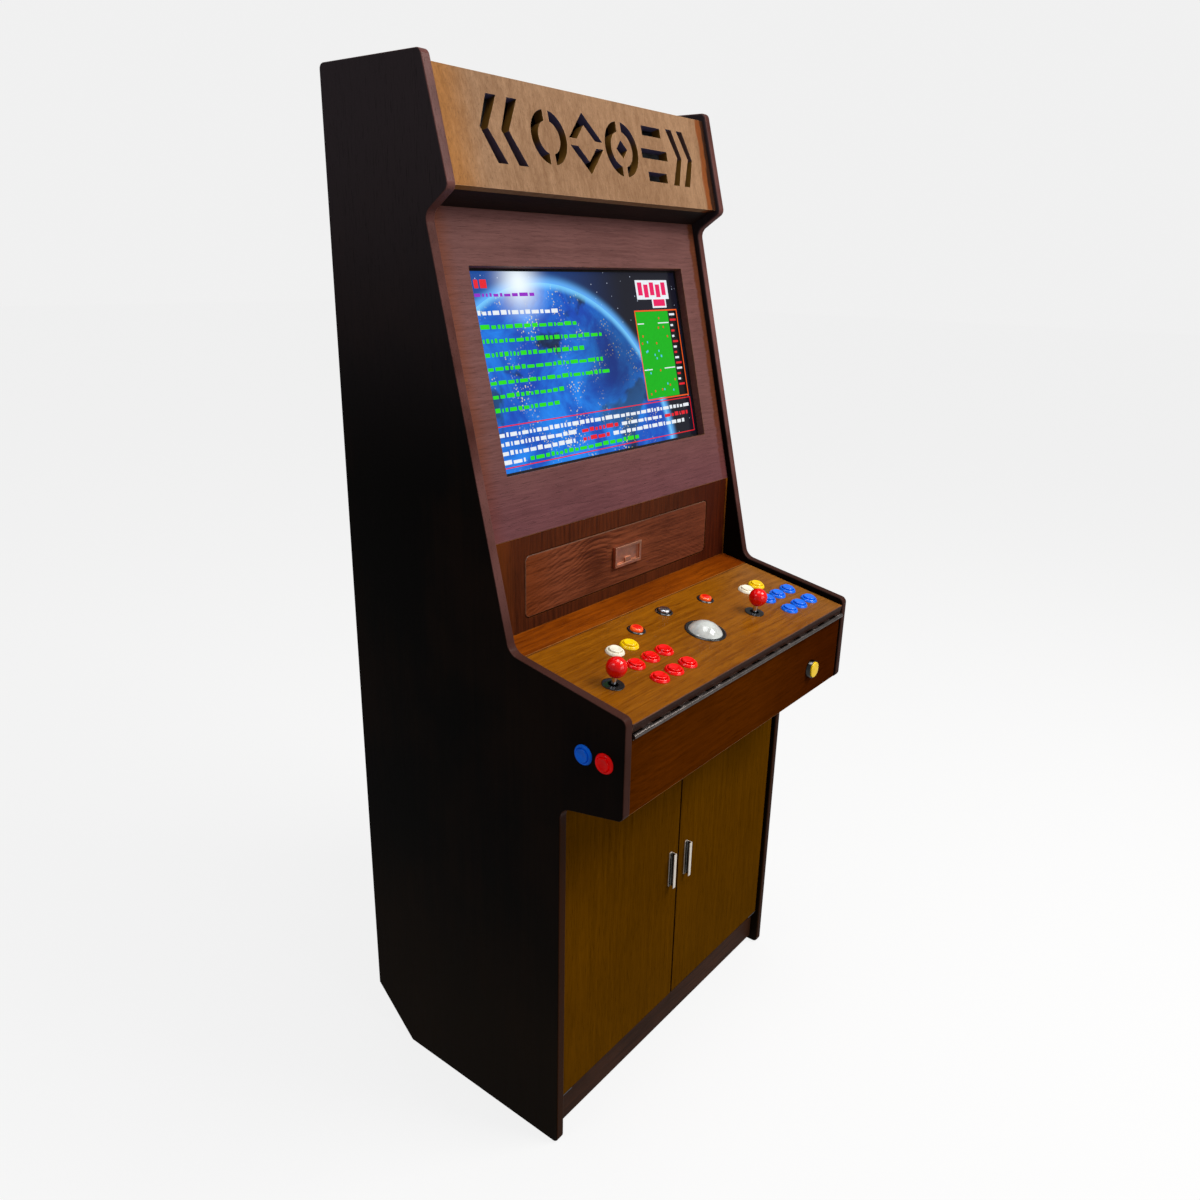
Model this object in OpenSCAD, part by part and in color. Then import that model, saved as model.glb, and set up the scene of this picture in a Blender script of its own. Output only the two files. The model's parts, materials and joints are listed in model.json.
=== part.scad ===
// Upright two-player arcade cabinet, in millimetres.
// +Z is up, the player stands at -Y, and the origin is on the floor under the middle of the cabinet.
// "Set-back" is a distance behind the front edge of the control box, measured along +Y.

/* [Cabinet] */
// Overall width across the two side panels
width = 750; // [730:1:780]
// Overall height
height = 1818; // [1800:1:1840]
// Depth of the side panels, from the control box to the back
depth = 622; // [610:1:640]
// Thickness of the side panels
side_t = 18; // [15:1:19]
// Thickness of the boards between the side panels
board_t = 16; // [14:1:17]

/* [Control deck] */
// Slope of the control deck
deck_tilt = 10.63; // [9:0.01:12]
// Height of the deck's top face at its front edge
deck_z = 891.7; // [888:0.1:895]
// Length of the hinged deck, up its slope
deck_len = 230; // [228:1:232]
// Width of the hinged deck's gap at each side
deck_gap = 1; // [0.5:0.1:2]
// Height of a ball top's centre above the deck
stick_height = 32; // [30:1:36]
// Diameter of a ball top
ball_d = 35; // [32:1:36]
// Diameter of the trackball
trackball_d = 76.2; // [74:0.1:77]

/* [Push buttons] */
// Diameter of a push button's rim
rim_d = 34.5; // [33:0.5:35]
// Diameter of a push button's plunger
plunger_d = 23.4; // [23:0.1:23.4]
// Travel of a push button
press = 3; // [2:0.5:4]

/* [Screen] */
// Width of the screen opening
screen_w = 587; // [560:1:600]
// Height of the screen opening
screen_h = 330; // [315:1:338]
// Lean of the monitor bezel from the vertical
screen_tilt = 13.64; // [13:0.01:14]

/* [Doors and drawer] */
// Height of the doors' lower edge
door_z = 87.5; // [87:0.5:90]
// Height of a door
door_h = 612.5; // [600:0.5:613]
// Width of the drawer front
drawer_w = 556; // [540:1:560]
// Height of the drawer front
drawer_h = 109; // [100:1:112]

/* [Hidden] */
$fn = 64;
fine = 0.05;                        // radial clearance of a running fit
coin_proud = 11;                    // how far the coin button stands out of the apron
coin_r = 15.6;                      // radius of its head
rim_h = 4.8;                        // height of a deck button's rim
cap_h = 7.8;                        // height of a deck button's cap
apron_set = 4;                      // set-back of the apron's face
half_w = width / 2;
inner_w = width / 2 - side_t;
front_y = -(depth - coin_proud + apron_set) / 2;
back_set = depth - 18;              // set-back of the back panel
floor_set = 126;                    // set-back of the base's front edge
door_set = 134.6;                   // set-back of the doors' face
plinth_set = 145.3;                 // set-back of the plinth's face
plinth_top = door_z - 2;
panel_set = 288;                    // set-back of the lower panel and of the bezel's foot
seam_z = 1111;                      // height of the joint between lower panel and bezel
bezel_len = 518.5;
screen_s = 265.5;                   // screen centre, up the bezel from its foot
marquee_tilt = 15.2;
marquee_recess = 8;
marquee_s0 = 7;                     // marquee panel's lower and upper edges, up its slope
marquee_s1 = 176;
apron_z = 734;
apron_top = 865;
hinge_r = 4;                        // piano hinge barrel
hinge_z = 870.5;
leaf_t = 1.6;
hinge_pin_r = 1.2;
knuckles = 28;
hole_r = 14;                        // a push button's hole
barrel_r = 13.7;
bore_r = 12;
ball_sink = 20;                     // depth of the trackball's centre under the deck's face
pivot_sink = 22;                    // depth of a stick's pivot under the deck's face
washer_hole_r = 8.9;                // room for the shaft at full tilt both ways
deck_hole_r = trackball_d / 2 + 0.9;
drawer_z = 967;
door_w = inner_w - 3;
door_pivot_x = inner_w - 16;
door_pivot_set = door_set + 6;

// Side panel corners: set-back, height, corner radius
SIDE = [
    [depth, height, 9], [394, height, 11], [344.5, 1636, 12], [395.5, 1601.5, 18],
    [235, 947.5, 25], [0, 903.5, 12], [0, 732.5, 12], [floor_set, 708, 24],
    [floor_set, 0, 11], [depth - 98, 0, 4], [depth, 95, 4]
];

// Deck push buttons: name, x, distance up the deck, colour
DECK_BUTTONS = concat(
    [for (row = [0, 1], i = [0, 1, 2])
        [str("p1_button_", row * 3 + i + 1), [-208.5, -167, -126.5][i], [55, 105][row], "red"]],
    [["p1_button_7", -203.5, 153.5, "white"], ["p1_button_8", -163.5, 153, "gold"]],
    [for (row = [0, 1], i = [0, 1, 2])
        [str("p2_button_", row * 3 + i + 1), [233.5, 273.5, 315.5][i], [55, 105][row], "dodgerblue"]],
    [["p2_button_7", 231, 154, "white"], ["p2_button_8", 272, 154.5, "gold"]]
);
// Raised centre buttons of the deck
CENTRE_BUTTONS = [
    ["centre_button_left", -107, 180.5, "orangered"],
    ["centre_button_middle", -1.5, 195, "silver"],
    ["centre_button_right", 117, 179.5, "orangered"]
];
// Side buttons: name, side, set-back, height, colour
SIDE_BUTTONS = [for (side = [-1, 1], i = [0, 1])
    [str(side < 0 ? "left" : "right", "_side_button_", ["front", "rear"][i]), side,
     [38, 79][i], [821, 822][i], ["red", "dodgerblue"][i]]];
COIN = [241, 788.5];                 // coin button: x and height
STICKS = [["p1", -290, 89], ["p2", 157, 91]];
TRACKBALL = [3, 104];

// ---- Outlines and frames ----

// Polygon through [x, y, radius] corners, each rounded with its radius
module rounded(corners, steps = 8) {
    n = len(corners);
    polygon([for (i = [0 : n - 1])
        let (p = corners[i], a = corners[(i + n - 1) % n], b = corners[(i + 1) % n],
             u = unit([a[0] - p[0], a[1] - p[1]]), v = unit([b[0] - p[0], b[1] - p[1]]),
             half = acos(u * v) / 2, w = unit(u + v),
             centre = [p[0], p[1]] + w * (p[2] / sin(half)),
             from = centre_angle(-w) - (90 - half) * turn(u, v),
             sweep = 2 * (90 - half) * turn(u, v))
        for (k = [0 : steps])
            centre + p[2] * [cos(from + sweep * k / steps), sin(from + sweep * k / steps)]]);
}
function unit(v) = v / norm(v);
function centre_angle(v) = atan2(v[1], v[0]);
function turn(u, v) = u[0] * v[1] - u[1] * v[0] > 0 ? -1 : 1;

// A board whose outline is given as [set-back, height], running from x0 to x1
module across(x0, x1) {
    translate([x0, front_y, 0]) rotate([90, 0, 90]) linear_extrude(x1 - x0) children();
}

// Deck frame: x across, y up the slope, z out of the deck's top face
module on_deck(x = 0, s = 0) {
    translate([0, front_y + 2.2, deck_z]) rotate([deck_tilt, 0, 0]) translate([x, s, 0]) children();
}

// Bezel frame: x across, y up the bezel from its foot, z out of its face
module on_bezel() {
    translate([0, front_y + panel_set, seam_z]) rotate([90 - screen_tilt, 0, 0]) children();
}

// Marquee frame: x across, y up from the side panels' lower corner, z out of their edge
module on_marquee() {
    translate([0, front_y + SIDE[2][0], SIDE[2][1]]) rotate([90 - marquee_tilt, 0, 0]) children();
}

// Frame of a side button: z points out of the side panel
module on_side(b) {
    translate([b[1] * half_w, front_y + b[2], b[3]]) rotate([0, 90 * b[1], 0]) children();
}

// Frame of the coin button: z points out of the apron
module on_apron() {
    translate([COIN[0], front_y + apron_set, COIN[1]]) rotate([90, 0, 0]) children();
}

// ---- Boards of the cabinet ----

module side_panel(side) {
    x = side < 0 ? -half_w : inner_w;
    difference() {
        across(x, x + side_t) rounded(SIDE);
        for (b = SIDE_BUTTONS) if (b[1] == side)
            on_side(b) translate([0, 0, -side_t - 1]) cylinder(r = hole_r, h = side_t + 2);
    }
}
module side_panel_left() { color("#2b2422") side_panel(-1); }
module side_panel_right() { color("#2b2422") side_panel(1); }

module marquee_board() {
    on_marquee() translate([-inner_w, marquee_s0, -marquee_recess - side_t])
        cube([2 * inner_w, marquee_s1 - marquee_s0, side_t]);
}

// Point of the marquee's section as [set-back, height]: s up the slope and out of the panels' edge
function marquee_point(s, out) = [SIDE[2][0], SIDE[2][1]]
    + s * [sin(marquee_tilt), cos(marquee_tilt)] + out * [-cos(marquee_tilt), sin(marquee_tilt)];

behind = -marquee_recess - side_t - 0.2;
marquee_top = marquee_point(marquee_s1, behind)[1];

module top_panel() {
    color("#2b2422") across(-inner_w, inner_w)
        polygon([marquee_point(marquee_s1, behind), [back_set, marquee_top],
                 [back_set, marquee_top - board_t],
                 marquee_point(marquee_s1 - board_t / cos(marquee_tilt), behind)]);
}

module soffit_panel() {
    color("#241c19") across(-inner_w, inner_w)
        polygon([marquee_point(marquee_s0, behind), [409.5, 1614], [415.2, 1624.6],
                 marquee_point(marquee_s0 + 11, behind)]);
}

// A straight cut through the marquee board, turned by angle about its middle
module slot(x, s, w, h, angle = 0) {
    translate([x, s]) rotate(angle) square([w, h], center = true);
}

// Ring-shaped cut with two bridges, so that its middle stays attached
module ring_cut(x, s, r, stroke) {
    translate([x, s]) difference() {
        circle(r = r);
        circle(r = r - stroke);
        square([stroke * 0.8, 2 * r + 2], center = true);
    }
}

// Chevron cut that points along +x, or along -x with way = -1
module chevron_cut(x, s, reach, tall, stroke, way = 1) {
    translate([x, s]) polygon([
        [-way * reach / 2, tall / 2], [way * (reach / 2 - stroke), 0], [-way * reach / 2, -tall / 2],
        [way * (stroke * 1.3 - reach / 2), -tall / 2], [way * reach / 2, 0],
        [way * (stroke * 1.3 - reach / 2), tall / 2]]);
}

// Diamond-shaped cut with two bridges
module diamond_cut(x, s, r, stroke) {
    translate([x, s]) difference() {
        circle(r = r, $fn = 4);
        circle(r = r - stroke * 1.4, $fn = 4);
        square([2 * r + 2, stroke * 0.8], center = true);
    }
}

// Six plain ornaments in one band: chevrons, rings, a diamond and bars
module marquee_cuts() {
    mid = 96;
    tall = 101;
    stroke = 17;
    chevron_cut(-252, mid, 48, tall, stroke, -1);
    chevron_cut(-206, mid, 48, tall, stroke, -1);
    ring_cut(-119, mid, 43, stroke);
    diamond_cut(-24, mid, 50, stroke * 0.85);
    ring_cut(74, mid, 47, stroke);
    slot(74, mid, stroke * 1.3, stroke * 1.3, 45);
    for (k = [-1, 0, 1]) slot(173, mid + k * 40, 80 - 22 * abs(k), stroke);
    chevron_cut(241, mid, 40, tall, stroke * 0.85);
    chevron_cut(277, mid, 40, tall, stroke * 0.85);
}

module marquee_panel() {
    color("#a5814f") difference() {
        marquee_board();
        on_marquee() translate([0, 0, -marquee_recess - side_t - 1]) linear_extrude(side_t + 2)
            marquee_cuts();
    }
}

module monitor_bezel() {
    color("#4a2a22") on_bezel() difference() {
        translate([-inner_w, 0, -board_t]) cube([2 * inner_w, bezel_len, board_t]);
        translate([-screen_w / 2, screen_s - screen_h / 2, -board_t - 1])
            cube([screen_w, screen_h, board_t + 2]);
    }
}

// Outline of the drawer front, grown by gap
module drawer_outline(gap = 0) {
    w = drawer_w / 2 + gap;
    r = 10 + gap;
    rounded([[-w, drawer_z - gap, r], [w, drawer_z - gap, r],
             [w, drawer_z + drawer_h + gap, r], [-w, drawer_z + drawer_h + gap, r]]);
}

module lower_panel() {
    mitre = board_t * tan(screen_tilt);
    seam_gap = 0.05;
    color("#5a3420") difference() {
        across(-inner_w, inner_w) polygon([[panel_set, 920], [panel_set + board_t, 920],
            [panel_set + board_t, seam_z - seam_gap - mitre], [panel_set, seam_z - seam_gap]]);
        translate([0, front_y + panel_set + board_t + 1, 0]) rotate([90, 0, 0])
            linear_extrude(board_t + 2) drawer_outline(1.5);
    }
}

module deck_rear_strip() {
    len = (panel_set - 2.2) / cos(deck_tilt) - deck_len - 2;
    color("#7a4a22") intersection() {
        on_deck() translate([-inner_w, deck_len + 1.5, -board_t]) cube([2 * inner_w, len + 8, board_t]);
        translate([-inner_w, front_y, 800]) cube([2 * inner_w, panel_set, 300]);
    }
}

module apron_panel() {
    color("#4b3320") difference() {
        translate([-inner_w, front_y + apron_set, apron_z]) cube([2 * inner_w, board_t, apron_top - apron_z]);
        on_apron() translate([0, 0, -board_t - 1]) cylinder(r = hole_r, h = board_t + 2);
    }
}

module control_box_floor() {
    rise = 0.194;
    back = floor_set + 5;
    rail_set = door_set + side_t + 7.5;
    rail_z = door_z + door_h - 20;
    strip_w = door_pivot_x - 21;    // the strip ends short of the doors' hinge edges, which swing back
    color("#2b2422") {
        across(-inner_w, inner_w) {
            polygon([[apron_set + board_t, 731.5], [back, 731.5 - (back - 20) * rise],
                     [back, 747.5 - (back - 20) * rise], [apron_set + board_t, 747.5]]);
            translate([rail_set, rail_z]) square([board_t, 60]);
        }
        across(-strip_w, strip_w) translate([door_set + side_t + 0.3, rail_z]) square([9, 60]);
    }
}

module back_panel() {
    bottom = plinth_top;
    color("#2b2422") difference() {
        across(-inner_w, inner_w) polygon([[back_set, bottom], [back_set + 7, bottom],
            [back_set + 12, bottom + 5.5], [back_set + 12, marquee_top], [back_set, marquee_top]]);
        for (i = [-4 : 4]) translate([i * 30 - 4, front_y + back_set - 1, 1500]) cube([8, 14, 140]);
        translate([-274, front_y + back_set - 1, 146]) cube([48, 14, 28]);
    }
}

module bottom_panel() {
    low = plinth_top - board_t;
    color("#2b2422") across(-inner_w, inner_w)
        polygon([[plinth_set + board_t, low], [586, low], [back_set + 6, plinth_top],
                 [plinth_set + board_t, plinth_top]]);
}

module plinth() {
    color("#3a2528") translate([-inner_w, front_y + plinth_set, 13])
        cube([2 * inner_w, board_t, plinth_top - 13]);
}

// ---- Fixed parts inside the cabinet ----

module monitor() {
    w = screen_w + 46;
    h = screen_h + 40;
    color("#15161a") on_bezel() translate([0, screen_s, -board_t]) {
        difference() {
            translate([-w / 2, -h / 2, -22]) cube([w, h, 22]);
            translate([-screen_w / 2 + 4, -screen_h / 2 + 4, -2.5]) cube([screen_w - 8, screen_h - 8, 3]);
        }
        translate([-w / 2 + 50, -h / 2 + 40, -48]) cube([w - 100, h - 80, 26]);
    }
}

// Computer case with its power supply on the bottom panel, and two speakers under the top panel
module electronics() {
    color("#3c3f44") translate([-345, front_y + 190, plinth_top]) {
        cube([100, 380, 300]);
        translate([0, 40, 300.2]) cube([100, 150, 70]);
    }
    speaker_z = 1690;
    for (x = [-230, 230]) color("#202124") translate([x - 60, front_y + 440, speaker_z])
        cube([120, 100, marquee_top - board_t - speaker_z - 0.2]);
}

module mains_inlet() {
    color("#1a1a1a") translate([-250, front_y + back_set + 12, 160]) {
        difference() {
            union() {
                translate([-29, 0, -19]) cube([58, 2.5, 38]);
                translate([-23, -30, -13]) cube([46, 30, 26]);
            }
            translate([-13, -16, -8.5]) cube([26, 20, 17]);
        }
        for (x = [-7, 0, 7]) translate([x - 1, -16.5, x == 0 ? 1 : -3]) cube([2, 10, 4]);
    }
}

module drawer_runners() {
    deep = back_set - panel_set - board_t;
    for (side = [-1, 1]) color("#9aa0a6")
        translate([side * 262, front_y + panel_set + board_t, drawer_z + drawer_h / 2])
            translate([-6, 0, -23]) difference() {
                cube([12, deep, 46]);
                translate([side < 0 ? 2 : -1, -1, 3]) cube([11, deep + 2, 40]);
            }
}

// Piano hinge along the deck's front edge
hinge_half = inner_w - 2;
knuckle_pitch = 2 * hinge_half / knuckles;
module hinge_frame() { translate([0, front_y, hinge_z]) children(); }

// Every second knuckle, starting with the one numbered first
module hinge_knuckles(first) {
    for (k = [first : 2 : knuckles - 1])
        translate([-hinge_half + k * knuckle_pitch + 0.15, 0, 0]) rotate([0, 90, 0])
            cylinder(r = hinge_r, h = knuckle_pitch - 0.3);
}

// Room in one leaf for the other leaf's knuckles
module hinge_gaps(first) {
    for (k = [first : 2 : knuckles - 1])
        translate([-hinge_half + k * knuckle_pitch - 0.15, -hinge_r - 1, -hinge_r - 2])
            cube([knuckle_pitch + 0.3, 2 * hinge_r + 1.6, 2 * hinge_r + 4]);
}

module deck_hinge_fixed_leaf() {
    drop = apron_top - hinge_z;
    color("#b9a27a") hinge_frame() {
        hinge_knuckles(0);
        difference() {
            translate([-hinge_half, 0.2, drop]) cube([2 * hinge_half, 19.8, leaf_t]);
            hinge_gaps(1);
        }
        translate([-hinge_half, 0, 0]) rotate([0, 90, 0]) cylinder(r = hinge_pin_r, h = 2 * hinge_half);
    }
}

// Cup-shaped housing of a push button with its nut and switch; z = 0 is the face of the panel
module button_housing(rim_r, rim_h, panel_t, cup_r = bore_r) {
    deep = panel_t + 5 + press;
    shoulder = (rim_r - cup_r) * 0.45;
    step = cup_r > bore_r ? [[cup_r, 1], [bore_r, 1]] : [];
    rotate_extrude() polygon(concat([[0, -deep - 2], [barrel_r, -deep - 2], [barrel_r, 0], [rim_r, 0],
        [rim_r, 1.2], [rim_r - 1, rim_h * 0.7], [rim_r - shoulder, rim_h], [cup_r + 0.6, rim_h],
        [cup_r, rim_h - 0.8]], step, [[bore_r, -deep], [0, -deep]]));
    translate([0, 0, -panel_t - 5]) difference() {
        cylinder(r = 17.5, h = 5);
        translate([0, 0, -1]) cylinder(r = barrel_r, h = 7);
    }
    translate([-10, -5, -deep - 14]) cube([20, 10, 12]);
}

// Plunger of a push button, dished on top
module plunger(top) {
    r = plunger_d / 2;
    rotate_extrude() polygon([[0, -6], [r, -6], [r, top - 1.6], [r - 0.5, top - 0.5], [r - 1.6, top],
        [r - 3, top - 0.1], [r * 0.5, top - 0.7], [0, top - 0.9]]);
}

module cabinet_button_housings() {
    color("#202020") for (b = SIDE_BUTTONS) on_side(b) button_housing(rim_d / 2, 4, side_t);
    color("silver") on_apron() button_housing(18.8, 8.5, board_t, coin_r + 0.3);
}

// Plates and pins on which the doors turn
module door_hinges() {
    plate_x = [-inner_w, inner_w - 34];
    pin = 15;
    color("#8d9196") for (side = [0, 1]) {
        x = plate_x[side];
        px = side == 0 ? -door_pivot_x : door_pivot_x;
        translate([x, front_y + door_set + 0.5, plinth_top]) cube([34, 24, 1.6]);
        translate([px, front_y + door_pivot_set, plinth_top]) cylinder(r = 3, h = pin);
        top = door_z + door_h + 0.4;
        translate([x, front_y + door_set + 0.5, top]) cube([34, 21.5, 1.6]);
        translate([side == 0 ? x : inner_w - 1.6, front_y + door_set + 0.5, top]) cube([1.6, 21.5, 22]);
        translate([px, front_y + door_pivot_set, top - pin + 1.6]) cylinder(r = 3, h = pin);
    }
}

// ---- The hinged control deck ----

module control_deck() {
    w = inner_w - deck_gap;
    color("#8a6a35") difference() {
        on_deck() translate([-w, -2, -board_t]) cube([2 * w, deck_len + 2, board_t]);
        for (b = concat(DECK_BUTTONS, CENTRE_BUTTONS))
            on_deck(b[1], b[2]) translate([0, 0, -board_t - 1]) cylinder(r = hole_r, h = board_t + 2);
        for (j = STICKS)
            on_deck(j[1], j[2]) translate([0, 0, -board_t - 1]) cylinder(r = 11, h = board_t + 2);
        on_deck(TRACKBALL[0], TRACKBALL[1])
            translate([0, 0, -board_t - 1]) cylinder(r = deck_hole_r, h = board_t + 2);
    }
}

module deck_hinge_moving_leaf() {
    color("#b9a27a") difference() {
        union() {
            hinge_frame() hinge_knuckles(1);
            difference() {
                on_deck() translate([-hinge_half, -6, -board_t - leaf_t])
                    cube([2 * hinge_half, 28, leaf_t]);
                hinge_frame() hinge_gaps(0);
            }
        }
        hinge_frame() translate([-inner_w, 0, 0]) rotate([0, 90, 0])
            cylinder(r = hinge_pin_r + fine, h = 2 * inner_w);
    }
}

module deck_button_housings() {
    color("#b02020") for (b = DECK_BUTTONS)
        on_deck(b[1], b[2]) button_housing(rim_d / 2, rim_h, board_t);
    color("#202020") for (b = CENTRE_BUTTONS)
        on_deck(b[1], b[2]) button_housing(rim_d / 2, 2.5, board_t);
}

// Open box under the deck with bearings for the gimbal, and the dust washer above the deck
module joystick_base() {
    half = 21;
    wall = 4;
    difference() {
        union() {
            difference() {
                translate([-33, -24, -board_t - 34]) cube([66, 48, 34]);
                translate([-half + wall, -half + wall, -board_t - 30])
                    cube([2 * (half - wall), 2 * (half - wall), 40]);
            }
            translate([-45, -30, -board_t - 3]) difference() {
                cube([90, 60, 3]);
                translate([45 - half + wall, 30 - half + wall, -1])
                    cube([2 * (half - wall), 2 * (half - wall), 5]);
            }
        }
        translate([-half, 0, -pivot_sink]) rotate([0, 90, 0]) cylinder(r = 2 + fine, h = 2 * half);
    }
    difference() {
        cylinder(r = 19, h = 1.2);
        translate([0, 0, -1]) cylinder(r = washer_hole_r, h = 4);
    }
}
module joystick_bases() {
    color("#18181a") for (j = STICKS) on_deck(j[1], j[2]) joystick_base();
}

// Case of the trackball with its retaining ring and the cup that the ball turns in
module trackball_housing() {
    r = trackball_d / 2;
    color("#141416") on_deck(TRACKBALL[0], TRACKBALL[1]) difference() {
        union() {
            translate([0, 0, -board_t]) cylinder(r = deck_hole_r - 0.2, h = board_t + 1.2);
            translate([-52, -52, -board_t - 50]) cube([104, 104, 50]);
        }
        translate([0, 0, -ball_sink]) sphere(r = r + 0.5, $fn = 96);
    }
}

// ---- Joysticks and trackball ----

// Ring that turns in the base about x and carries the stick's cross pin
module gimbal(j) {
    color("#9aa0a6") on_deck(j[1], j[2]) translate([0, 0, -pivot_sink]) difference() {
        union() {
            cylinder(r = 12, h = 7, center = true);
            translate([-20, 0, 0]) rotate([0, 90, 0]) cylinder(r = 2, h = 40);
        }
        cylinder(r = 8, h = 9, center = true);
        rotate([90, 0, 0]) cylinder(r = 2 + fine, h = 30, center = true);
    }
}
module p1_gimbal() { gimbal(STICKS[0]); }
module p2_gimbal() { gimbal(STICKS[1]); }

// Shaft with its cross pin, and the ball top
module stick(j) {
    on_deck(j[1], j[2]) {
        color("silver") union() {
            translate([0, 0, -pivot_sink - 20]) cylinder(r = 4.5, h = pivot_sink + 20 + stick_height - 8);
            translate([0, 0, -pivot_sink]) rotate([90, 0, 0]) cylinder(r = 2, h = 23, center = true);
        }
        color("red") translate([0, 0, stick_height]) difference() {
            sphere(d = ball_d, $fn = 96);
            translate([0, 0, -ball_d]) cylinder(r = 4.5, h = ball_d - 8);
        }
    }
}
module p1_stick() { stick(STICKS[0]); }
module p2_stick() { stick(STICKS[1]); }

module trackball() {
    color("gainsboro") on_deck(TRACKBALL[0], TRACKBALL[1])
        translate([0, 0, -ball_sink]) sphere(d = trackball_d, $fn = 128);
}

// ---- Doors and drawer ----

module door(side) {
    color("#4f3c22") difference() {
        translate([side < 0 ? -inner_w + 2 : 1, front_y + door_set, door_z]) cube([door_w, side_t, door_h]);
        for (z = [door_z - 1, door_z + door_h - 15])
            translate([side * door_pivot_x, front_y + door_pivot_set, z]) cylinder(r = 3 + fine, h = 16);
    }
}
module door_left() { door(-1); }
module door_right() { door(1); }

// Channel-section pull; both doors' pulls open to the left, as the photo shows
module door_pull(side) {
    x = side < 0 ? -28.5 : 26;
    color("#b4b6b8") translate([x, front_y + door_set, 369]) difference() {
        translate([-4, -13, 0]) cube([8, 13, 77]);
        translate([-5, -11.2, -1]) cube([7.4, 9, 79]);
    }
}
module door_pull_left() { door_pull(-1); }
module door_pull_right() { door_pull(1); }

// Drawer front with the four boards of the tray behind it
module drawer_box() {
    w = 254;
    deep = 256;
    wall = 12;
    low = drawer_z + 6;
    high = 82;
    color("#5a3a24") {
        translate([0, front_y + panel_set + board_t, 0]) rotate([90, 0, 0])
            linear_extrude(board_t) drawer_outline();
        translate([-w, front_y + panel_set + board_t + 0.2, low]) difference() {
            cube([2 * w, deep, high]);
            translate([wall, -1, wall]) cube([2 * (w - wall), deep - wall + 1, high]);
        }
    }
}

// Square plate pull with a raised border and a tab at its lower middle
module drawer_pull() {
    w = 80;
    h = 40;
    border = 6;
    color("#6e4a32") translate([-w / 2, front_y + panel_set, drawer_z + drawer_h / 2 - h / 2])
        rotate([90, 0, 0]) {
            linear_extrude(8) difference() {
                square([w, h]);
                translate([border, border]) square([w - 2 * border, h - 2 * border]);
            }
            translate([border, border, 0]) cube([w - 2 * border, h - 2 * border, 3]);
            translate([w / 2 - 9, border, 0]) cube([18, 9, 7]);
        }
}

// ---- Button caps ----

module deck_button(b, top) { color(b[3]) on_deck(b[1], b[2]) plunger(top); }
module side_button(b) { color(b[4]) on_side(b) plunger(6); }
// Coin button: a wide head on a plunger
module coin_button() {
    r = plunger_d / 2;
    color("gold") on_apron() rotate_extrude() polygon([[0, -6], [r, -6], [r, press + 1.3],
        [coin_r, press + 1.3], [coin_r, coin_proud - 1.2], [coin_r - 1.2, coin_proud], [0, coin_proud]]);
}

side_panel_left();
side_panel_right();
top_panel();
marquee_panel();
soffit_panel();
monitor_bezel();
lower_panel();
deck_rear_strip();
apron_panel();
control_box_floor();
back_panel();
bottom_panel();
plinth();
monitor();
electronics();
mains_inlet();
drawer_runners();
deck_hinge_fixed_leaf();
cabinet_button_housings();
door_hinges();
control_deck();
deck_hinge_moving_leaf();
deck_button_housings();
joystick_bases();
trackball_housing();
p1_gimbal();
p2_gimbal();
p1_stick();
p2_stick();
trackball();
door_left();
door_right();
door_pull_left();
door_pull_right();
drawer_box();
drawer_pull();
for (b = DECK_BUTTONS) deck_button(b, cap_h);
for (b = CENTRE_BUTTONS) deck_button(b, 8);
for (b = SIDE_BUTTONS) side_button(b);
coin_button();
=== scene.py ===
"""Looks of the upright two-player arcade cabinet: detailed meshes, materials, light and camera."""
import json
import math
import random

import bmesh
import bpy
from mathutils import Matrix, Vector


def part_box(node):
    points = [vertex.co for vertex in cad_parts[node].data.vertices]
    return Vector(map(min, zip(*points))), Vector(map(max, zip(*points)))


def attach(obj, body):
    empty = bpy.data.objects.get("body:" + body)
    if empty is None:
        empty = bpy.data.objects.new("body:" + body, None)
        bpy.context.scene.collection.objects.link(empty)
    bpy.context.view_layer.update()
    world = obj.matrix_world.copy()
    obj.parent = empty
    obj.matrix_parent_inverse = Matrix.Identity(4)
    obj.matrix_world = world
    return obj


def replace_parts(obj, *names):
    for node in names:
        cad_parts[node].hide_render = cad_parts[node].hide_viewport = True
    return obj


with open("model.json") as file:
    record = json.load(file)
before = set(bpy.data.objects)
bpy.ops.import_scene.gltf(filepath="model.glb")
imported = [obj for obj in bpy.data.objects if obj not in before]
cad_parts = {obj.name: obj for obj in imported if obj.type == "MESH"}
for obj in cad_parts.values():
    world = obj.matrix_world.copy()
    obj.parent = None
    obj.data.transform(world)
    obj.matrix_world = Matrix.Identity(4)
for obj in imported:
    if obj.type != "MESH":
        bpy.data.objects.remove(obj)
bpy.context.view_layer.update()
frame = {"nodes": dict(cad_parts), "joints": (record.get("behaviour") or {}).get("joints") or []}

MM = 0.001
DECK_TILT = math.radians(10.63)
SCREEN_TILT = math.radians(13.64)
BOARD = 16 * MM          # thickness of the boards between the side panels
SIDE_BOARD = 18 * MM
DECK_OUT = Vector((0, -math.sin(DECK_TILT), math.cos(DECK_TILT)))
RIGHT = Vector((1, 0, 0))
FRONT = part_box("side_panel_left")[0].y          # the side panels' front edge
JOINTS = {j["name"]: j for j in frame["joints"]}


# ---------------- materials

def srgb(red, green, blue):
    """Linear colour from 0..255 display values."""
    def linear(value):
        value /= 255
        return value / 12.92 if value <= 0.04045 else ((value + 0.055) / 1.055) ** 2.4
    return (linear(red), linear(green), linear(blue), 1.0)


def darker(colour, share):
    return tuple(c * share for c in colour[:3]) + (1.0,)


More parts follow.
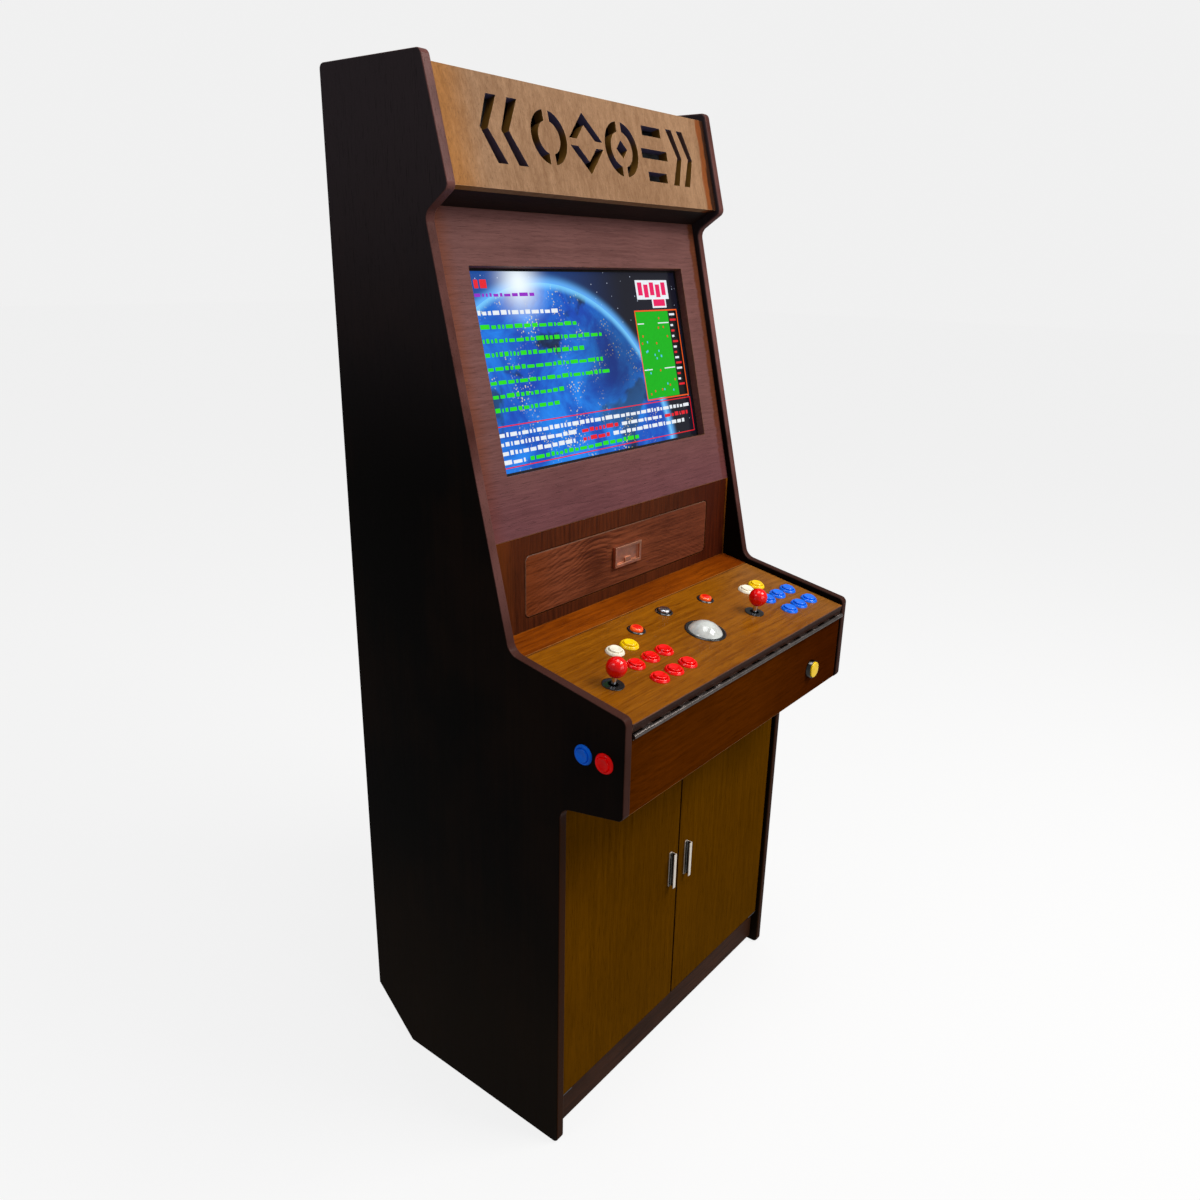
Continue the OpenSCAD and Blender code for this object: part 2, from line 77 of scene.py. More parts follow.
class Shader:
    """A material under construction; what a method adds to it, it gives back as an output socket."""

    def __init__(self, name):
        self.material = bpy.data.materials.new(name)
        self.material.use_nodes = True
        self.tree = self.material.node_tree
        self.surface = self.tree.nodes["Principled BSDF"]

    def node(self, kind, feeds=(), **settings):
        """A node with its settings, and its inputs fed from a dictionary of values or sockets."""
        made = self.tree.nodes.new(kind)
        for key, value in settings.items():
            setattr(made, key, value)
        for key, value in dict(feeds).items():
            self.feed(made.inputs[key], value)
        return made

    def feed(self, socket, value):
        if isinstance(value, bpy.types.NodeSocket):
            self.tree.links.new(value, socket)
        elif value is not None:
            socket.default_value = value

    def place(self):
        return self.node("ShaderNodeTexCoord").outputs["Object"]

    def normal(self):
        return self.node("ShaderNodeTexCoord").outputs["Normal"]

    def stretch(self, vector, scale, offset=(0, 0, 0)):
        feeds = {"Vector": vector, "Scale": scale, "Location": offset}
        return self.node("ShaderNodeMapping", feeds).outputs[0]

    def noise(self, vector, scale, detail=3.0, rough=0.5, distortion=0.0):
        feeds = {"Vector": vector, "Scale": scale, "Detail": detail, "Roughness": rough,
                 "Distortion": distortion}
        return self.node("ShaderNodeTexNoise", feeds).outputs["Fac"]

    def spots(self, vector, scale):
        return self.node("ShaderNodeTexVoronoi", {"Vector": vector, "Scale": scale}).outputs["Distance"]

    def part(self, vector, axis):
        return self.node("ShaderNodeSeparateXYZ", {0: vector}).outputs["XYZ".index(axis)]

    def math(self, operation, first, second=None, third=None):
        return self.node("ShaderNodeMath", {0: first, 1: second, 2: third}, operation=operation).outputs[0]

    def around(self, base, value, reach):
        """The base, moved up and down by a value that lies round 0.5."""
        return self.math("MULTIPLY_ADD", self.math("SUBTRACT", value, 0.5), reach, base)

    def ramp(self, value, low, high, start=0.0, end=1.0):
        feeds = {"Value": value, "From Min": low, "From Max": high, "To Min": start, "To Max": end}
        return self.node("ShaderNodeMapRange", feeds, interpolation_type="SMOOTHSTEP").outputs[0]

    def mix(self, amount, first, second, blend="MIX"):
        made = self.node("ShaderNodeMix", data_type="RGBA", blend_type=blend)
        self.feed(made.inputs["Factor"], amount)
        colours = [s for s in made.inputs if s.type == "RGBA"]
        self.feed(colours[0], first)
        self.feed(colours[1], second)
        return [s for s in made.outputs if s.type == "RGBA"][0]

    def pores(self, along):
        """Fine dark pores of the veneer, drawn out along the grain."""
        return self.ramp(self.noise(along, 900.0, 2.0, 0.6), 0.56, 0.72)

    def bump(self, height, strength, distance):
        made = self.node("ShaderNodeBump", {"Height": height, "Strength": strength, "Distance": distance})
        self.feed(self.surface.inputs["Normal"], made.outputs[0])

    def set(self, **values):
        names = {"color": "Base Color", "metal": "Metallic", "rough": "Roughness",
                 "coat": "Coat Weight", "coat_rough": "Coat Roughness", "specular": "Specular IOR Level",
                 "glow": "Emission Color", "glow_strength": "Emission Strength"}
        for key, value in values.items():
            self.feed(self.surface.inputs[names[key]], value)


GRAIN_SCALE = {"X": (0.04, 1, 1), "Z": (1, 1, 0.04)}
CROSS_AXIS = {"X": "Z", "Z": "X"}


def wood(name, dark, light, grain, rough=0.42, coat=0.0, figure=0.12, pitch=0.011, arches=None, tints_and_painted_light=(),
         seed=0.0, specular=0.05, lip=None, contrast=1.0):
    """Stained wood veneer.

    grain is the axis of the fibres, figure the strength of the growth rings and pitch their spacing. arches
    (x, bend) turns the rings into nested arches about the line at x. Each tint band comes in along an axis:
    (axis, from, to, colour, amount); some are colour changes of the board and some are painted light, as
    marked where the woods are listed. lip is the colour of a flat board's front edge.
    """
    s = Shader(name)
    place = s.place()
    along = s.stretch(place, GRAIN_SCALE[grain], (seed, seed * 0.7, seed * 1.3))
    warp = s.noise(along, 6.0, 3.0, 0.6)
    cloud = s.noise(s.stretch(place, (1, 1, 1), (seed, 0, 0)), 5.0, 4.0, 0.6)
    streak = s.noise(along, 110.0, 4.0, 0.65)
    fibre = s.noise(along, 360.0, 4.0, 0.75)
    across = s.math("MULTIPLY_ADD", s.part(along, "Y"), 0.5, s.part(along, CROSS_AXIS[grain]))
    if arches:
        middle, bend = arches
        run = s.math("SUBTRACT", s.part(place, "X"), middle)
        across = s.math("MULTIPLY_ADD", s.math("MULTIPLY", run, run), -bend, s.part(place, "Z"))
    drift = s.math("MULTIPLY_ADD", cloud, 0.05, s.math("MULTIPLY", warp, 0.06))
    wander = s.math("ADD", drift, s.math("MULTIPLY_ADD", streak, 0.006, across))
    ring = s.math("FRACT", s.math("DIVIDE", wander, pitch))
    ring = s.math("MULTIPLY", s.ramp(ring, 0.0, 0.8), s.ramp(ring, 1.0, 0.86))
    amount = s.around(0.5, streak, 0.9)
    amount = s.around(amount, fibre, 1.2)
    amount = s.around(amount, cloud, 0.9)
    patch = s.ramp(s.noise(place, 7.0, 1.0), 0.4, 0.62)
    shown = s.math("MULTIPLY_ADD", patch, figure * 3.0, figure * 0.4)
    amount = s.around(0.5, s.around(amount, ring, shown), contrast)
    colour = s.mix(s.ramp(amount, 0.0, 1.0), dark, light)
    # tint bands, some of them painted light, as marked where the woods are listed
    for axis, start, end, tint, strength in tints_and_painted_light:
        edge = s.around(s.around(s.part(place, axis), cloud, 0.02), streak, 0.02)
        shaded = s.mix(s.ramp(amount, 0.0, 1.0, 0.75, 0.0), tint, darker(tint, 0.45))
        colour = s.mix(s.ramp(edge, start, end, 0.0, strength), colour, shaded)
    pores = s.pores(along)
    colour = s.mix(s.math("MULTIPLY", pores, 0.5), colour, darker(dark, 0.3))
    if lip:
        front = s.math("MULTIPLY", s.part(s.normal(), "Y"), -1.0)
        colour = s.mix(s.ramp(front, 0.55, 0.8), colour, lip)
    s.set(color=colour, rough=s.around(rough, fibre, 0.25), coat=coat, coat_rough=0.16, specular=specular)
    s.bump(s.math("SUBTRACT", fibre, s.math("MULTIPLY", pores, 1.3)), 0.35, 0.0004)
    return s.material


def side_wood():
    """Near-black stained panels, brown where the edges are rounded over, with a painted sheen that lightens
    the faces towards the top.
    """
    s = Shader("side_panel_stain_and_sheen")
    place = s.place()
    along = s.stretch(place, GRAIN_SCALE["Z"])
    fibre = s.noise(along, 330.0, 4.0, 0.7)
    streak = s.noise(along, 60.0, 3.0, 0.6)
    cloud = s.noise(place, 4.0, 4.0, 0.55)
    mottle = s.ramp(s.math("MULTIPLY_ADD", streak, 0.3, cloud), 0.5, 0.9)
    face = s.mix(mottle, srgb(5, 3, 2), srgb(22, 11, 5))
    # painted reflection: the flat faces turn lighter grey towards the top, as a soft sheen of light
    height = s.ramp(s.part(place, "Z"), 1.15, 1.8)
    face = s.mix(s.math("MULTIPLY", height, 0.8), face, srgb(58, 50, 53))
    foot = s.ramp(s.part(place, "Z"), 0.6, 0.1)
    face = s.mix(s.math("MULTIPLY", foot, 0.55), face, srgb(32, 19, 3))
    edge = s.mix(s.ramp(cloud, 0.3, 0.7), srgb(58, 30, 24), srgb(112, 74, 70))
    edge = s.mix(s.ramp(s.part(place, "Z"), 1.2, 0.9, 0.0, 0.8), edge, srgb(42, 20, 10))
    edge = s.mix(s.ramp(s.part(place, "Z"), 0.72, 0.66), edge, srgb(48, 22, 4))
    flat = s.math("ABSOLUTE", s.part(s.normal(), "X"))
    colour = s.mix(s.ramp(flat, 0.5, 0.985), edge, face)
    pores = s.pores(along)
    colour = s.mix(s.math("MULTIPLY", pores, 0.5), colour, srgb(3, 2, 1))
    worn = s.math("MULTIPLY_ADD", flat, 0.25, s.math("MULTIPLY_ADD", fibre, 0.15, 0.16))
    s.set(color=colour, rough=worn, coat=0.0, specular=0.04)
    s.bump(s.math("SUBTRACT", fibre, pores), 0.2, 0.0004)
    return s.material


def painted_cut_wall_light():
    """Painted light and shade in the cut-outs: walls that look left are painted amber as if lit, walls that
    look down blue-grey as if lit, and the other walls stay dark as painted shade.
    """
    s = Shader("marquee_cut_painted_light")
    place = s.place()
    fibre = s.noise(s.stretch(place, GRAIN_SCALE["Z"]), 330.0, 3.0, 0.6)
    # painted light by facing: amber where a wall looks left, blue-grey where it looks down, dark painted
    # shade elsewhere
    left = s.ramp(s.math("MULTIPLY", s.part(s.normal(), "X"), -1.0), 0.1, 0.8)
    down = s.ramp(s.math("MULTIPLY", s.part(s.normal(), "Z"), -1.0), 0.1, 0.7)
    tone = s.mix(left, srgb(58, 34, 30), srgb(132, 92, 34))
    tone = s.mix(down, tone, srgb(92, 86, 122))
    s.set(color=s.mix(s.math("MULTIPLY", fibre, 0.5), tone, srgb(30, 18, 14)), rough=0.4, specular=0.2)
    s.bump(fibre, 0.3, 0.0004)
    return s.material


def plastic(name, colour, rough=0.20, coat=0.4, grain=0.02, specular=0.3, glow=0.0):
    """Moulded plastic with a faint orange peel and a slightly uneven colour; glow is a painted glow of the
    plastic's own colour that brightens it where the lamps light it weakly.
    """
    s = Shader(name)
    place = s.place()
    peel = s.noise(place, 900.0, 2.0, 0.5)
    cloud = s.noise(place, 60.0, 3.0, 0.5)
    s.set(color=s.mix(s.ramp(cloud, 0.35, 0.65), darker(colour, 0.82), colour),
          rough=s.math("MULTIPLY_ADD", cloud, 0.12, rough - 0.06),
          coat=coat, coat_rough=0.06, specular=specular, glow=colour, glow_strength=glow)
    s.bump(peel, grain * 4, 0.0002)
    return s.material


def metal(name, colour, rough=0.28, brushed=None, stain=0.25, metallic=1.0):
    """Bare or plated metal, brushed along an axis when one is given; metallic below 1 looks lacquered."""
    s = Shader(name)
    place = s.place()
    fine = s.noise(s.stretch(place, GRAIN_SCALE[brushed]) if brushed else place, 700.0, 2.0, 0.6)
    cloud = s.noise(place, 45.0, 4.0, 0.6)
    s.set(color=s.mix(s.ramp(cloud, 0.35, 0.7), darker(colour, 1 - stain), colour), metal=metallic,
          rough=s.math("MULTIPLY_ADD", fine, 0.22, rough - 0.08))
    s.bump(fine, 0.1, 0.0002)
    return s.material


def lit_plastic(name, colour, rim, centre, radius, out):
    """Translucent button cap with a painted glow: it emits its own colour, brighter towards its rim."""
    s = Shader(name)
    away = s.node("ShaderNodeVectorMath", {0: s.place(), 1: centre}, operation="SUBTRACT").outputs[0]
    cross = s.node("ShaderNodeVectorMath", {0: away, 1: out}, operation="CROSS_PRODUCT").outputs[0]
    length = s.node("ShaderNodeVectorMath", {0: cross}, operation="LENGTH").outputs["Value"]
    reach = s.ramp(length, radius * 0.55, radius * 0.98)
    tone = s.mix(reach, colour, rim)
    # painted glow: the cap emits its own colour, so it glows though no lamp is in it
    s.set(color=tone, rough=0.14, coat=0.6, coat_rough=0.04, specular=0.5, glow=tone, glow_strength=0.22)
    s.bump(s.noise(s.place(), 700.0), 0.03, 0.0002)
    return s.material


# Along X, the amber towards the left end of the marquee, bezel, lower panel and drawer, and the red-brown
# towards the right of the lower panel, drawer, rear strip and apron, are painted reflected light; the deck's
# lighter right side is painted light falling there. The narrow bands at the right ends and the bands along Z
# are colour changes of the boards.
WOOD = {
    "marquee": wood("marquee_veneer", srgb(112, 80, 54), srgb(156, 122, 92), "Z", rough=0.5, figure=0.04,
                    pitch=0.03, seed=1.7, contrast=0.75,
                    # painted reflected light: amber towards the left end; the two narrow bands at the right
                    # end are colour changes of the board
                    tints_and_painted_light=(("X", -0.27, -0.35, srgb(166, 104, 28), 0.65),
                           ("X", 0.324, 0.331, srgb(124, 60, 12), 0.9),
                           ("X", 0.341, 0.347, srgb(30, 14, 6), 0.9))),
    "bezel": wood("bezel_veneer", srgb(86, 54, 51), srgb(118, 80, 76), "X", rough=0.5, figure=0.06,
                  pitch=0.009, seed=4.1, contrast=0.65,
                  # painted reflected light: amber towards the left end; the right-end band and the band along
                  # Z are colour changes of the board
                  tints_and_painted_light=(("X", -0.31, -0.355, srgb(118, 60, 30), 0.7),
                         ("X", 0.334, 0.342, srgb(96, 46, 14), 0.85),
                         ("Z", 1.28, 1.12, srgb(104, 58, 68), 0.55))),
    "lower": wood("lower_panel_veneer", srgb(46, 18, 7), srgb(88, 40, 17), "Z", rough=0.45, figure=0.06,
                  pitch=0.012, seed=2.3,
                  # painted reflected light: amber towards the left end, red-brown towards the right; the
                  # narrow band at the right end is a colour change of the board
                  tints_and_painted_light=(("X", -0.29, -0.355, srgb(112, 54, 10), 0.6),
                         ("X", 0.12, 0.30, srgb(64, 14, 3), 0.6),
                         ("X", 0.349, 0.353, srgb(150, 84, 20), 0.8))),
    "drawer": wood("drawer_veneer", srgb(64, 27, 14), srgb(128, 68, 42), "X", figure=0.10, pitch=0.0085,
                   arches=(-0.06, -0.9), seed=6.2,
                   # painted reflected light: amber towards the left end, redder towards the right
                   tints_and_painted_light=(("X", -0.18, -0.27, srgb(112, 50, 10), 0.55),
                          ("X", 0.02, 0.25, srgb(92, 40, 26), 0.4))),
    "strip": wood("rear_strip_veneer", srgb(90, 36, 1), srgb(138, 66, 4), "X", rough=0.3, coat=0.08,
                  figure=0.06, pitch=0.012, seed=3.4,
                  # painted reflected light: red-brown towards the right
                  tints_and_painted_light=(("X", 0.2, 0.36, srgb(104, 38, 4), 0.6),)),
    "deck": wood("deck_veneer", srgb(104, 54, 1), srgb(144, 86, 8), "X", rough=0.3, coat=0.10, figure=0.08,
                 pitch=0.014, seed=5.6, lip=srgb(44, 22, 14),
                 # painted light: lighter tan towards the right, where more light falls
                 tints_and_painted_light=(("X", 0.16, 0.36, srgb(150, 98, 46), 0.6),)),
    "apron": wood("apron_veneer", srgb(54, 21, 0), srgb(92, 42, 2), "X", rough=0.4, specular=0.0,
                  contrast=0.7, figure=0.06, pitch=0.012, arches=(-0.12, 0.35), seed=7.7,
                  # painted reflected light: darker red-brown towards the right
                  tints_and_painted_light=(("X", -0.05, 0.34, srgb(58, 18, 2), 0.7),)),
    "door": wood("door_veneer", srgb(66, 38, 0), srgb(108, 66, 2), "Z", specular=0.0, figure=0.05,
                 pitch=0.02, seed=8.8, contrast=0.45,
                 tints_and_painted_light=(("Z", 0.38, 0.12, srgb(104, 66, 8), 0.3),)),
    "plinth": wood("plinth_veneer", srgb(38, 21, 12), srgb(70, 42, 28), "X", figure=0.05, pitch=0.01,
                   seed=9.3),
    "black": wood("black_board", srgb(14, 8, 7), srgb(34, 18, 16), "X", rough=0.55, figure=0.04, pitch=0.01,
                  seed=0.4, specular=0.12),
    "tray": wood("drawer_tray_wood", srgb(96, 66, 40), srgb(160, 120, 80), "X", rough=0.6, figure=0.2,
                 pitch=0.01, seed=1.1),
    "side": side_wood(),
}
# Colours for the rounded-over edges of the boards: the tan, amber and brown ones are lighter than the faces
# as painted highlights along the edges; the dark one on the doors is painted shade, as in the gaps round
# them.
EDGE_LIGHT_AND_SHADE = {
    "tan": wood("tan_edge_painted_highlight", srgb(150, 112, 76), srgb(200, 160, 116), "X", rough=0.4, coat=0.1,
                specular=0.3),
    "amber": wood("amber_edge_painted_highlight", srgb(104, 56, 12), srgb(158, 98, 34), "X", rough=0.35, coat=0.1,
                  specular=0.3),
    "dark": wood("door_edge_painted_shade", srgb(14, 7, 2), srgb(34, 18, 8), "Z", rough=0.5, specular=0.0),
    "brown": wood("brown_edge_painted_highlight", srgb(74, 40, 24), srgb(116, 72, 48), "X", rough=0.35, coat=0.1,
                  specular=0.3),
}
RED = plastic("red_plastic", srgb(246, 2, 1))
BLUE = plastic("blue_plastic", srgb(0, 112, 246))
# painted glow: the side buttons emit a little of their own colour, which brightens them where the lamps light
# them weakly
SIDE_RED = plastic("side_red_plastic", srgb(255, 0, 0), coat=0.12, specular=0.1, glow=0.05)
SIDE_BLUE = plastic("side_blue_plastic", srgb(0, 110, 246), coat=0.12, specular=0.1, glow=0.02)
WHITE = plastic("white_plastic", srgb(250, 244, 222))
YELLOW = plastic("yellow_plastic", srgb(255, 212, 0))
BLACK = plastic("black_plastic", srgb(22, 22, 24), rough=0.25)
DULL_BLACK = plastic("dull_black_plastic", srgb(26, 26, 28), rough=0.5, coat=0.0, grain=0.06)
PEARL = plastic("trackball_plastic", srgb(200, 204, 200), rough=0.16, coat=0.8)
SILVER_CAP = metal("metallised_cap", srgb(214, 214, 218), rough=0.2)
CHROME = metal("chrome_plate", srgb(222, 224, 228), rough=0.12, stain=0.08)
SATIN = metal("satin_nickel", srgb(246, 238, 226), rough=0.34, brushed="Z", stain=0.05, metallic=0.3)
STEEL = metal("zinc_plate", srgb(150, 154, 160), rough=0.38, brushed="X")
COPPER = metal("antique_copper", srgb(232, 170, 138), rough=0.34, stain=0.3)
HINGE = metal("hinge_metal", srgb(150, 142, 138), rough=0.24, brushed="X", stain=0.3)
DARK_CHROME = metal("dark_chrome", srgb(120, 120, 118), rough=0.14, stain=0.6)
CASE_GREY = plastic("case_grey", srgb(52, 54, 58), rough=0.5, coat=0.0, grain=0.08)


# ---------------- mesh tools

def add_object(name, mesh, material, body):
    """One piece of the object; a tuple of materials is taken in the order of the faces' material_index."""
    made = bpy.data.objects.new(name, mesh)
    bpy.context.scene.collection.objects.link(made)
    for each in material if isinstance(material, tuple) else (material,):
        mesh.materials.append(each)
    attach(made, body)
    return made


def smooth_by_angle(bm, degrees):
    """Smooth faces, with sharp edges where faces meet at more than this angle."""
    for face in bm.faces:
        face.smooth = True
    for edge in bm.edges:
        edge.smooth = edge.is_manifold and edge.calc_face_angle(0) < math.radians(degrees)


def finish_mesh(bm, name, degrees=35):
    bmesh.ops.recalc_face_normals(bm, faces=bm.faces)
    smooth_by_angle(bm, degrees)
    mesh = bpy.data.meshes.new(name)
    bm.to_mesh(mesh)
    bm.free()
    return mesh


def weighted(made):
    """Keeps broad faces flat beside their rounded edges."""
    modifier = made.modifiers.new("flat_faces", "WEIGHTED_NORMAL")
    modifier.keep_sharp = True
    return made


def node_solid(node):
    """The CAD node's mesh, welded, with its flat faces whole again."""
    bm = bmesh.new()
    bm.from_mesh(frame["nodes"][node].data)
    bmesh.ops.remove_doubles(bm, verts=bm.verts, dist=2e-6)
    bmesh.ops.dissolve_limit(bm, angle_limit=math.radians(0.6), verts=bm.verts, edges=bm.edges)
    return bm


def round_edges(bm, width, segments=3, where=None, edge_index=0):
    """Rounds the sharp edges, or those that where() keeps; edge_index is the new faces' material."""
    sharp = [e for e in bm.edges if e.is_manifold and e.calc_face_angle(0) > math.radians(28)
             and (where is None or where(e))]
    done = bmesh.ops.bevel(bm, geom=sharp, offset=width, offset_type="OFFSET", segments=segments,
                           profile=0.5, affect="EDGES", clamp_overlap=True)
    for face in done["faces"]:
        face.material_index = edge_index


def board(node, material, body, width, segments=3, where=None):
    """A CAD board with its edges rounded over, in place of the plain one."""
    bm = node_solid(node)
    round_edges(bm, width, segments, where, 1 if isinstance(material, tuple) else 0)
    made = add_object(node + "_board", finish_mesh(bm, node + "_board"), material, body)
    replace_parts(made, node)
    return weighted(made)


def lathe_mesh(bm, profile, matrix, steps=48):
    """Adds a turned solid: profile is a list of (radius, height).

    It runs from one end of the axis to the other, or round a closed outline when it starts off the axis.
    """
    rings = []
    for radius, height in profile:
        if radius < 1e-6:
            rings.append([bm.verts.new(matrix @ Vector((0, 0, height)))])
        else:
            turns = [2 * math.pi * k / steps for k in range(steps)]
            points = [Vector((radius * math.cos(a), radius * math.sin(a), height)) for a in turns]
            rings.append([bm.verts.new(matrix @ point) for point in points])
    closed = len(rings[0]) > 1
    pairs = list(zip(rings, rings[1:])) + ([(rings[-1], rings[0])] if closed else [])
    for low, high in pairs:
        for k in range(steps):
            corners = []
            for vert in (low[k % len(low)], low[(k + 1) % len(low)], high[(k + 1) % len(high)],
                         high[k % len(high)]):
                if vert not in corners:
                    corners.append(vert)
            if len(corners) > 2:
                bm.faces.new(corners)


def rounded_profile(points, radius, steps=4):
    """Profile with every corner between its two ends rounded."""
    done = [points[0]]
    for before, corner, after in zip(points, points[1:], points[2:]):
        here, back, on = Vector(corner), Vector(before) - Vector(corner), Vector(after) - Vector(corner)
        reach = min(radius, back.length * 0.45, on.length * 0.45)
        start, end = here + back.normalized() * reach, here + on.normalized() * reach
        for k in range(steps + 1):
            t = k / steps
            done.append(tuple(start * (1 - t) ** 2 + here * 2 * t * (1 - t) + end * t ** 2))
    done.append(points[-1])
    return [(max(r, 0.0), z) for r, z in done]


def axis_frame(origin, out, right=RIGHT):
    """Matrix whose z runs along out, for turned parts and details on a face."""
    out = Vector(out).normalized()
    right = Vector(right)
    if abs(out.dot(right)) > 0.9:
        right = Vector((0, 1, 0))
    across = (right - out * right.dot(out)).normalized()
    up = out.cross(across)
    return Matrix.Translation(origin) @ Matrix((across, up, out)).transposed().to_4x4()


def turned(name, profile, matrices, material, body, steps=48, degrees=35):
    """One piece made of the same turned solid at each matrix."""
    bm = bmesh.new()
    for matrix in matrices:
        lathe_mesh(bm, profile, matrix, steps)
    return add_object(name, finish_mesh(bm, name, degrees), material, body)


def box_mesh(bm, low, high, matrix):
    """Adds a box between two corners given in the matrix's own frame."""
    corners = [(x, y, z) for x in (low[0], high[0]) for y in (low[1], high[1]) for z in (low[2], high[2])]
    verts = [bm.verts.new(matrix @ Vector(c)) for c in corners]
    for quad in ((0, 1, 3, 2), (4, 6, 7, 5), (0, 4, 5, 1), (2, 3, 7, 6), (0, 2, 6, 4), (1, 5, 7, 3)):
        bm.faces.new([verts[i] for i in quad])


# ---------------- cabinet boards

def long_edge(edge):
    """Outline edges of a side panel, and not the rims of its button holes."""
    holes_z, reach, nearest, farthest = 821.5 * MM, 20 * MM, 18 * MM, 100 * MM
    middle = (edge.verts[0].co + edge.verts[1].co) / 2
    return not (abs(middle.z - holes_z) < reach and FRONT + nearest < middle.y < FRONT + farthest)


def not_round(edge):
    """Straight board edges: leaves out the short edges round a drilled hole."""
    return edge.calc_length() > 0.012


def off_the_seam(edge):
    """Leaves out the edges where the bottom panel meets the back panel, so that the joint stays closed."""
    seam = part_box("back_panel")[0]
    reach = 4 * MM
    middle = (edge.verts[0].co + edge.verts[1].co) / 2
    return math.hypot(middle.y - seam.y, middle.z - seam.z) > reach


def cabinet_boards():
    """Every board, with the radius and the steps of its rounding."""
    for side in ("left", "right"):
        board(f"side_panel_{side}", WOOD["side"], "cabinet", 0.0042, 4, long_edge)
    marquee()
    for node in ("soffit_panel", "top_panel", "control_box_floor"):
        board(node, WOOD["black"], "cabinet", 0.0008, 2)
    for node in ("back_panel", "bottom_panel"):
        board(node, WOOD["black"], "cabinet", 0.0008, 2, off_the_seam)
    board("monitor_bezel", (WOOD["bezel"], EDGE_LIGHT_AND_SHADE["brown"]), "cabinet", 0.0009, 2)
    board("lower_panel", (WOOD["lower"], EDGE_LIGHT_AND_SHADE["amber"]), "cabinet", 0.0008, 2, not_round)
    board("deck_rear_strip", (WOOD["strip"], EDGE_LIGHT_AND_SHADE["amber"]), "cabinet", 0.0012, 2)
    board("apron_panel", (WOOD["apron"], EDGE_LIGHT_AND_SHADE["amber"]), "cabinet", 0.001, 2, not_round)
    board("plinth", (WOOD["plinth"], EDGE_LIGHT_AND_SHADE["brown"]), "cabinet", 0.0008, 2)
    control_deck()
    for side in ("left", "right"):
        board(f"door_{side}", (WOOD["door"], EDGE_LIGHT_AND_SHADE["dark"]), f"door_{side}", 0.0014, 3,
              not_round)
        door_pull(side)


SMALL_FACE = 0.003         # square metres: the walls of holes and cut-outs are smaller than this


def control_deck():
    """The deck board, with the walls of the joystick holes in dull black as painted shade."""
    bm = node_solid("control_deck")
    sticks = [Vector(JOINTS[p + "_stick_sideways"]["pos_m"]) for p in ("p1", "p2")]
    for face in bm.faces:
        if face.calc_area() < SMALL_FACE:
            centre = face.calc_center_median()
            # painted shade: the walls of the joystick holes take the dull black
            if any((centre - stick).cross(DECK_OUT).length < 20 * MM for stick in sticks):
                face.material_index = 2
    round_edges(bm, 0.0012, 2, not_round, 1)
    made = add_object("control_deck_board", finish_mesh(bm, "control_deck_board"),
                      (WOOD["deck"], EDGE_LIGHT_AND_SHADE["brown"], DULL_BLACK), "deck")
    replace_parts(made, "control_deck")
    weighted(made)


def marquee():
    """The pierced board, with painted light and shade on the walls of its cut-outs."""
    bm = node_solid("marquee_panel")
    out = max(bm.faces, key=lambda f: f.calc_area()).normal.copy()
    low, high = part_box("marquee_panel")
    margin = 20 * MM
    for face in bm.faces:
        centre = face.calc_center_median()
        inside = low.x + margin < centre.x < high.x - margin and face.calc_area() < SMALL_FACE
        # the walls of the cut-outs take the painted light and shade of the third material
        if inside and abs(face.normal.dot(out)) < 0.3:
            face.material_index = 2
    round_edges(bm, 0.0006, 2, edge_index=1)
    made = add_object("marquee_board", finish_mesh(bm, "marquee_board"),
                      (WOOD["marquee"], EDGE_LIGHT_AND_SHADE["tan"], painted_cut_wall_light()), "cabinet")
    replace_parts(made, "marquee_panel")
    weighted(made)


def door_pull(side):
    """Channel-section pull, with the faces inside the channel in a darker metal as painted shade."""
    node = f"door_pull_{side}"
    bm = node_solid(node)
    low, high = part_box(node)
    lip = 0.3 * MM
    for face in bm.faces:
        centre = face.calc_center_median()
        inside = low.x + lip < centre.x < high.x - lip and low.y + lip < centre.y < high.y - lip
        # painted shade: the faces inside the channel get the darker metal
        if inside and abs(face.normal.z) < 0.5:
            face.material_index = 1
    round_edges(bm, 0.0004, 2)
    made = add_object(node + "_channel", finish_mesh(bm, node), (SATIN, DARK_CHROME), f"door_{side}")
    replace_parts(made, node)
    weighted(made)


# ---------------- drawer

def drawer():
    """The CAD's front and tray, parted so that each has its own wood; the front is rounded."""
    bm = node_solid("drawer_box")
    front_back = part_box("drawer_box")[0].y + BOARD + 0.1 * MM
    for keep_front, name, material in ((True, "drawer_front", (WOOD["drawer"], EDGE_LIGHT_AND_SHADE["brown"])),
                                       (False, "drawer_tray", WOOD["tray"])):
        half = bm.copy()
        gone = [v for v in half.verts if (v.co.y < front_back) != keep_front]
        bmesh.ops.delete(half, geom=gone, context="VERTS")
        if keep_front:
            round_edges(half, 0.0018, 4, edge_index=1)
        made = add_object(name, finish_mesh(half, name), material, "drawer")
        weighted(made)
        if keep_front:
            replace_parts(made, "drawer_box")
    bm.free()
    board("drawer_pull", COPPER, "drawer", 0.0009, 3)


# ---------------- controls

RIM_R = 17.25 * MM         # push buttons: rim of the housing, bore of its cup, plunger in the bore
BORE_R = 12.0 * MM
PLUNGER_R = 11.7 * MM
THREAD_R = 13.7 * MM       # outside of the cup, in the panel's hole
CAP_ROOT = -6.0 * MM       # underside of a cap, from the panel's face
CUP_DEPTH = 8 * MM         # cup under the panel
DECK_PLASTIC = {"red": RED, "blue": BLUE, "white": WHITE, "yellow": YELLOW}
SIDE_PLASTIC = {"red": SIDE_RED, "blue": SIDE_BLUE}
CENTRE_BUTTONS = ["centre_button_left", "centre_button_middle", "centre_button_right"]


def on_side(name):
    return "side" in name


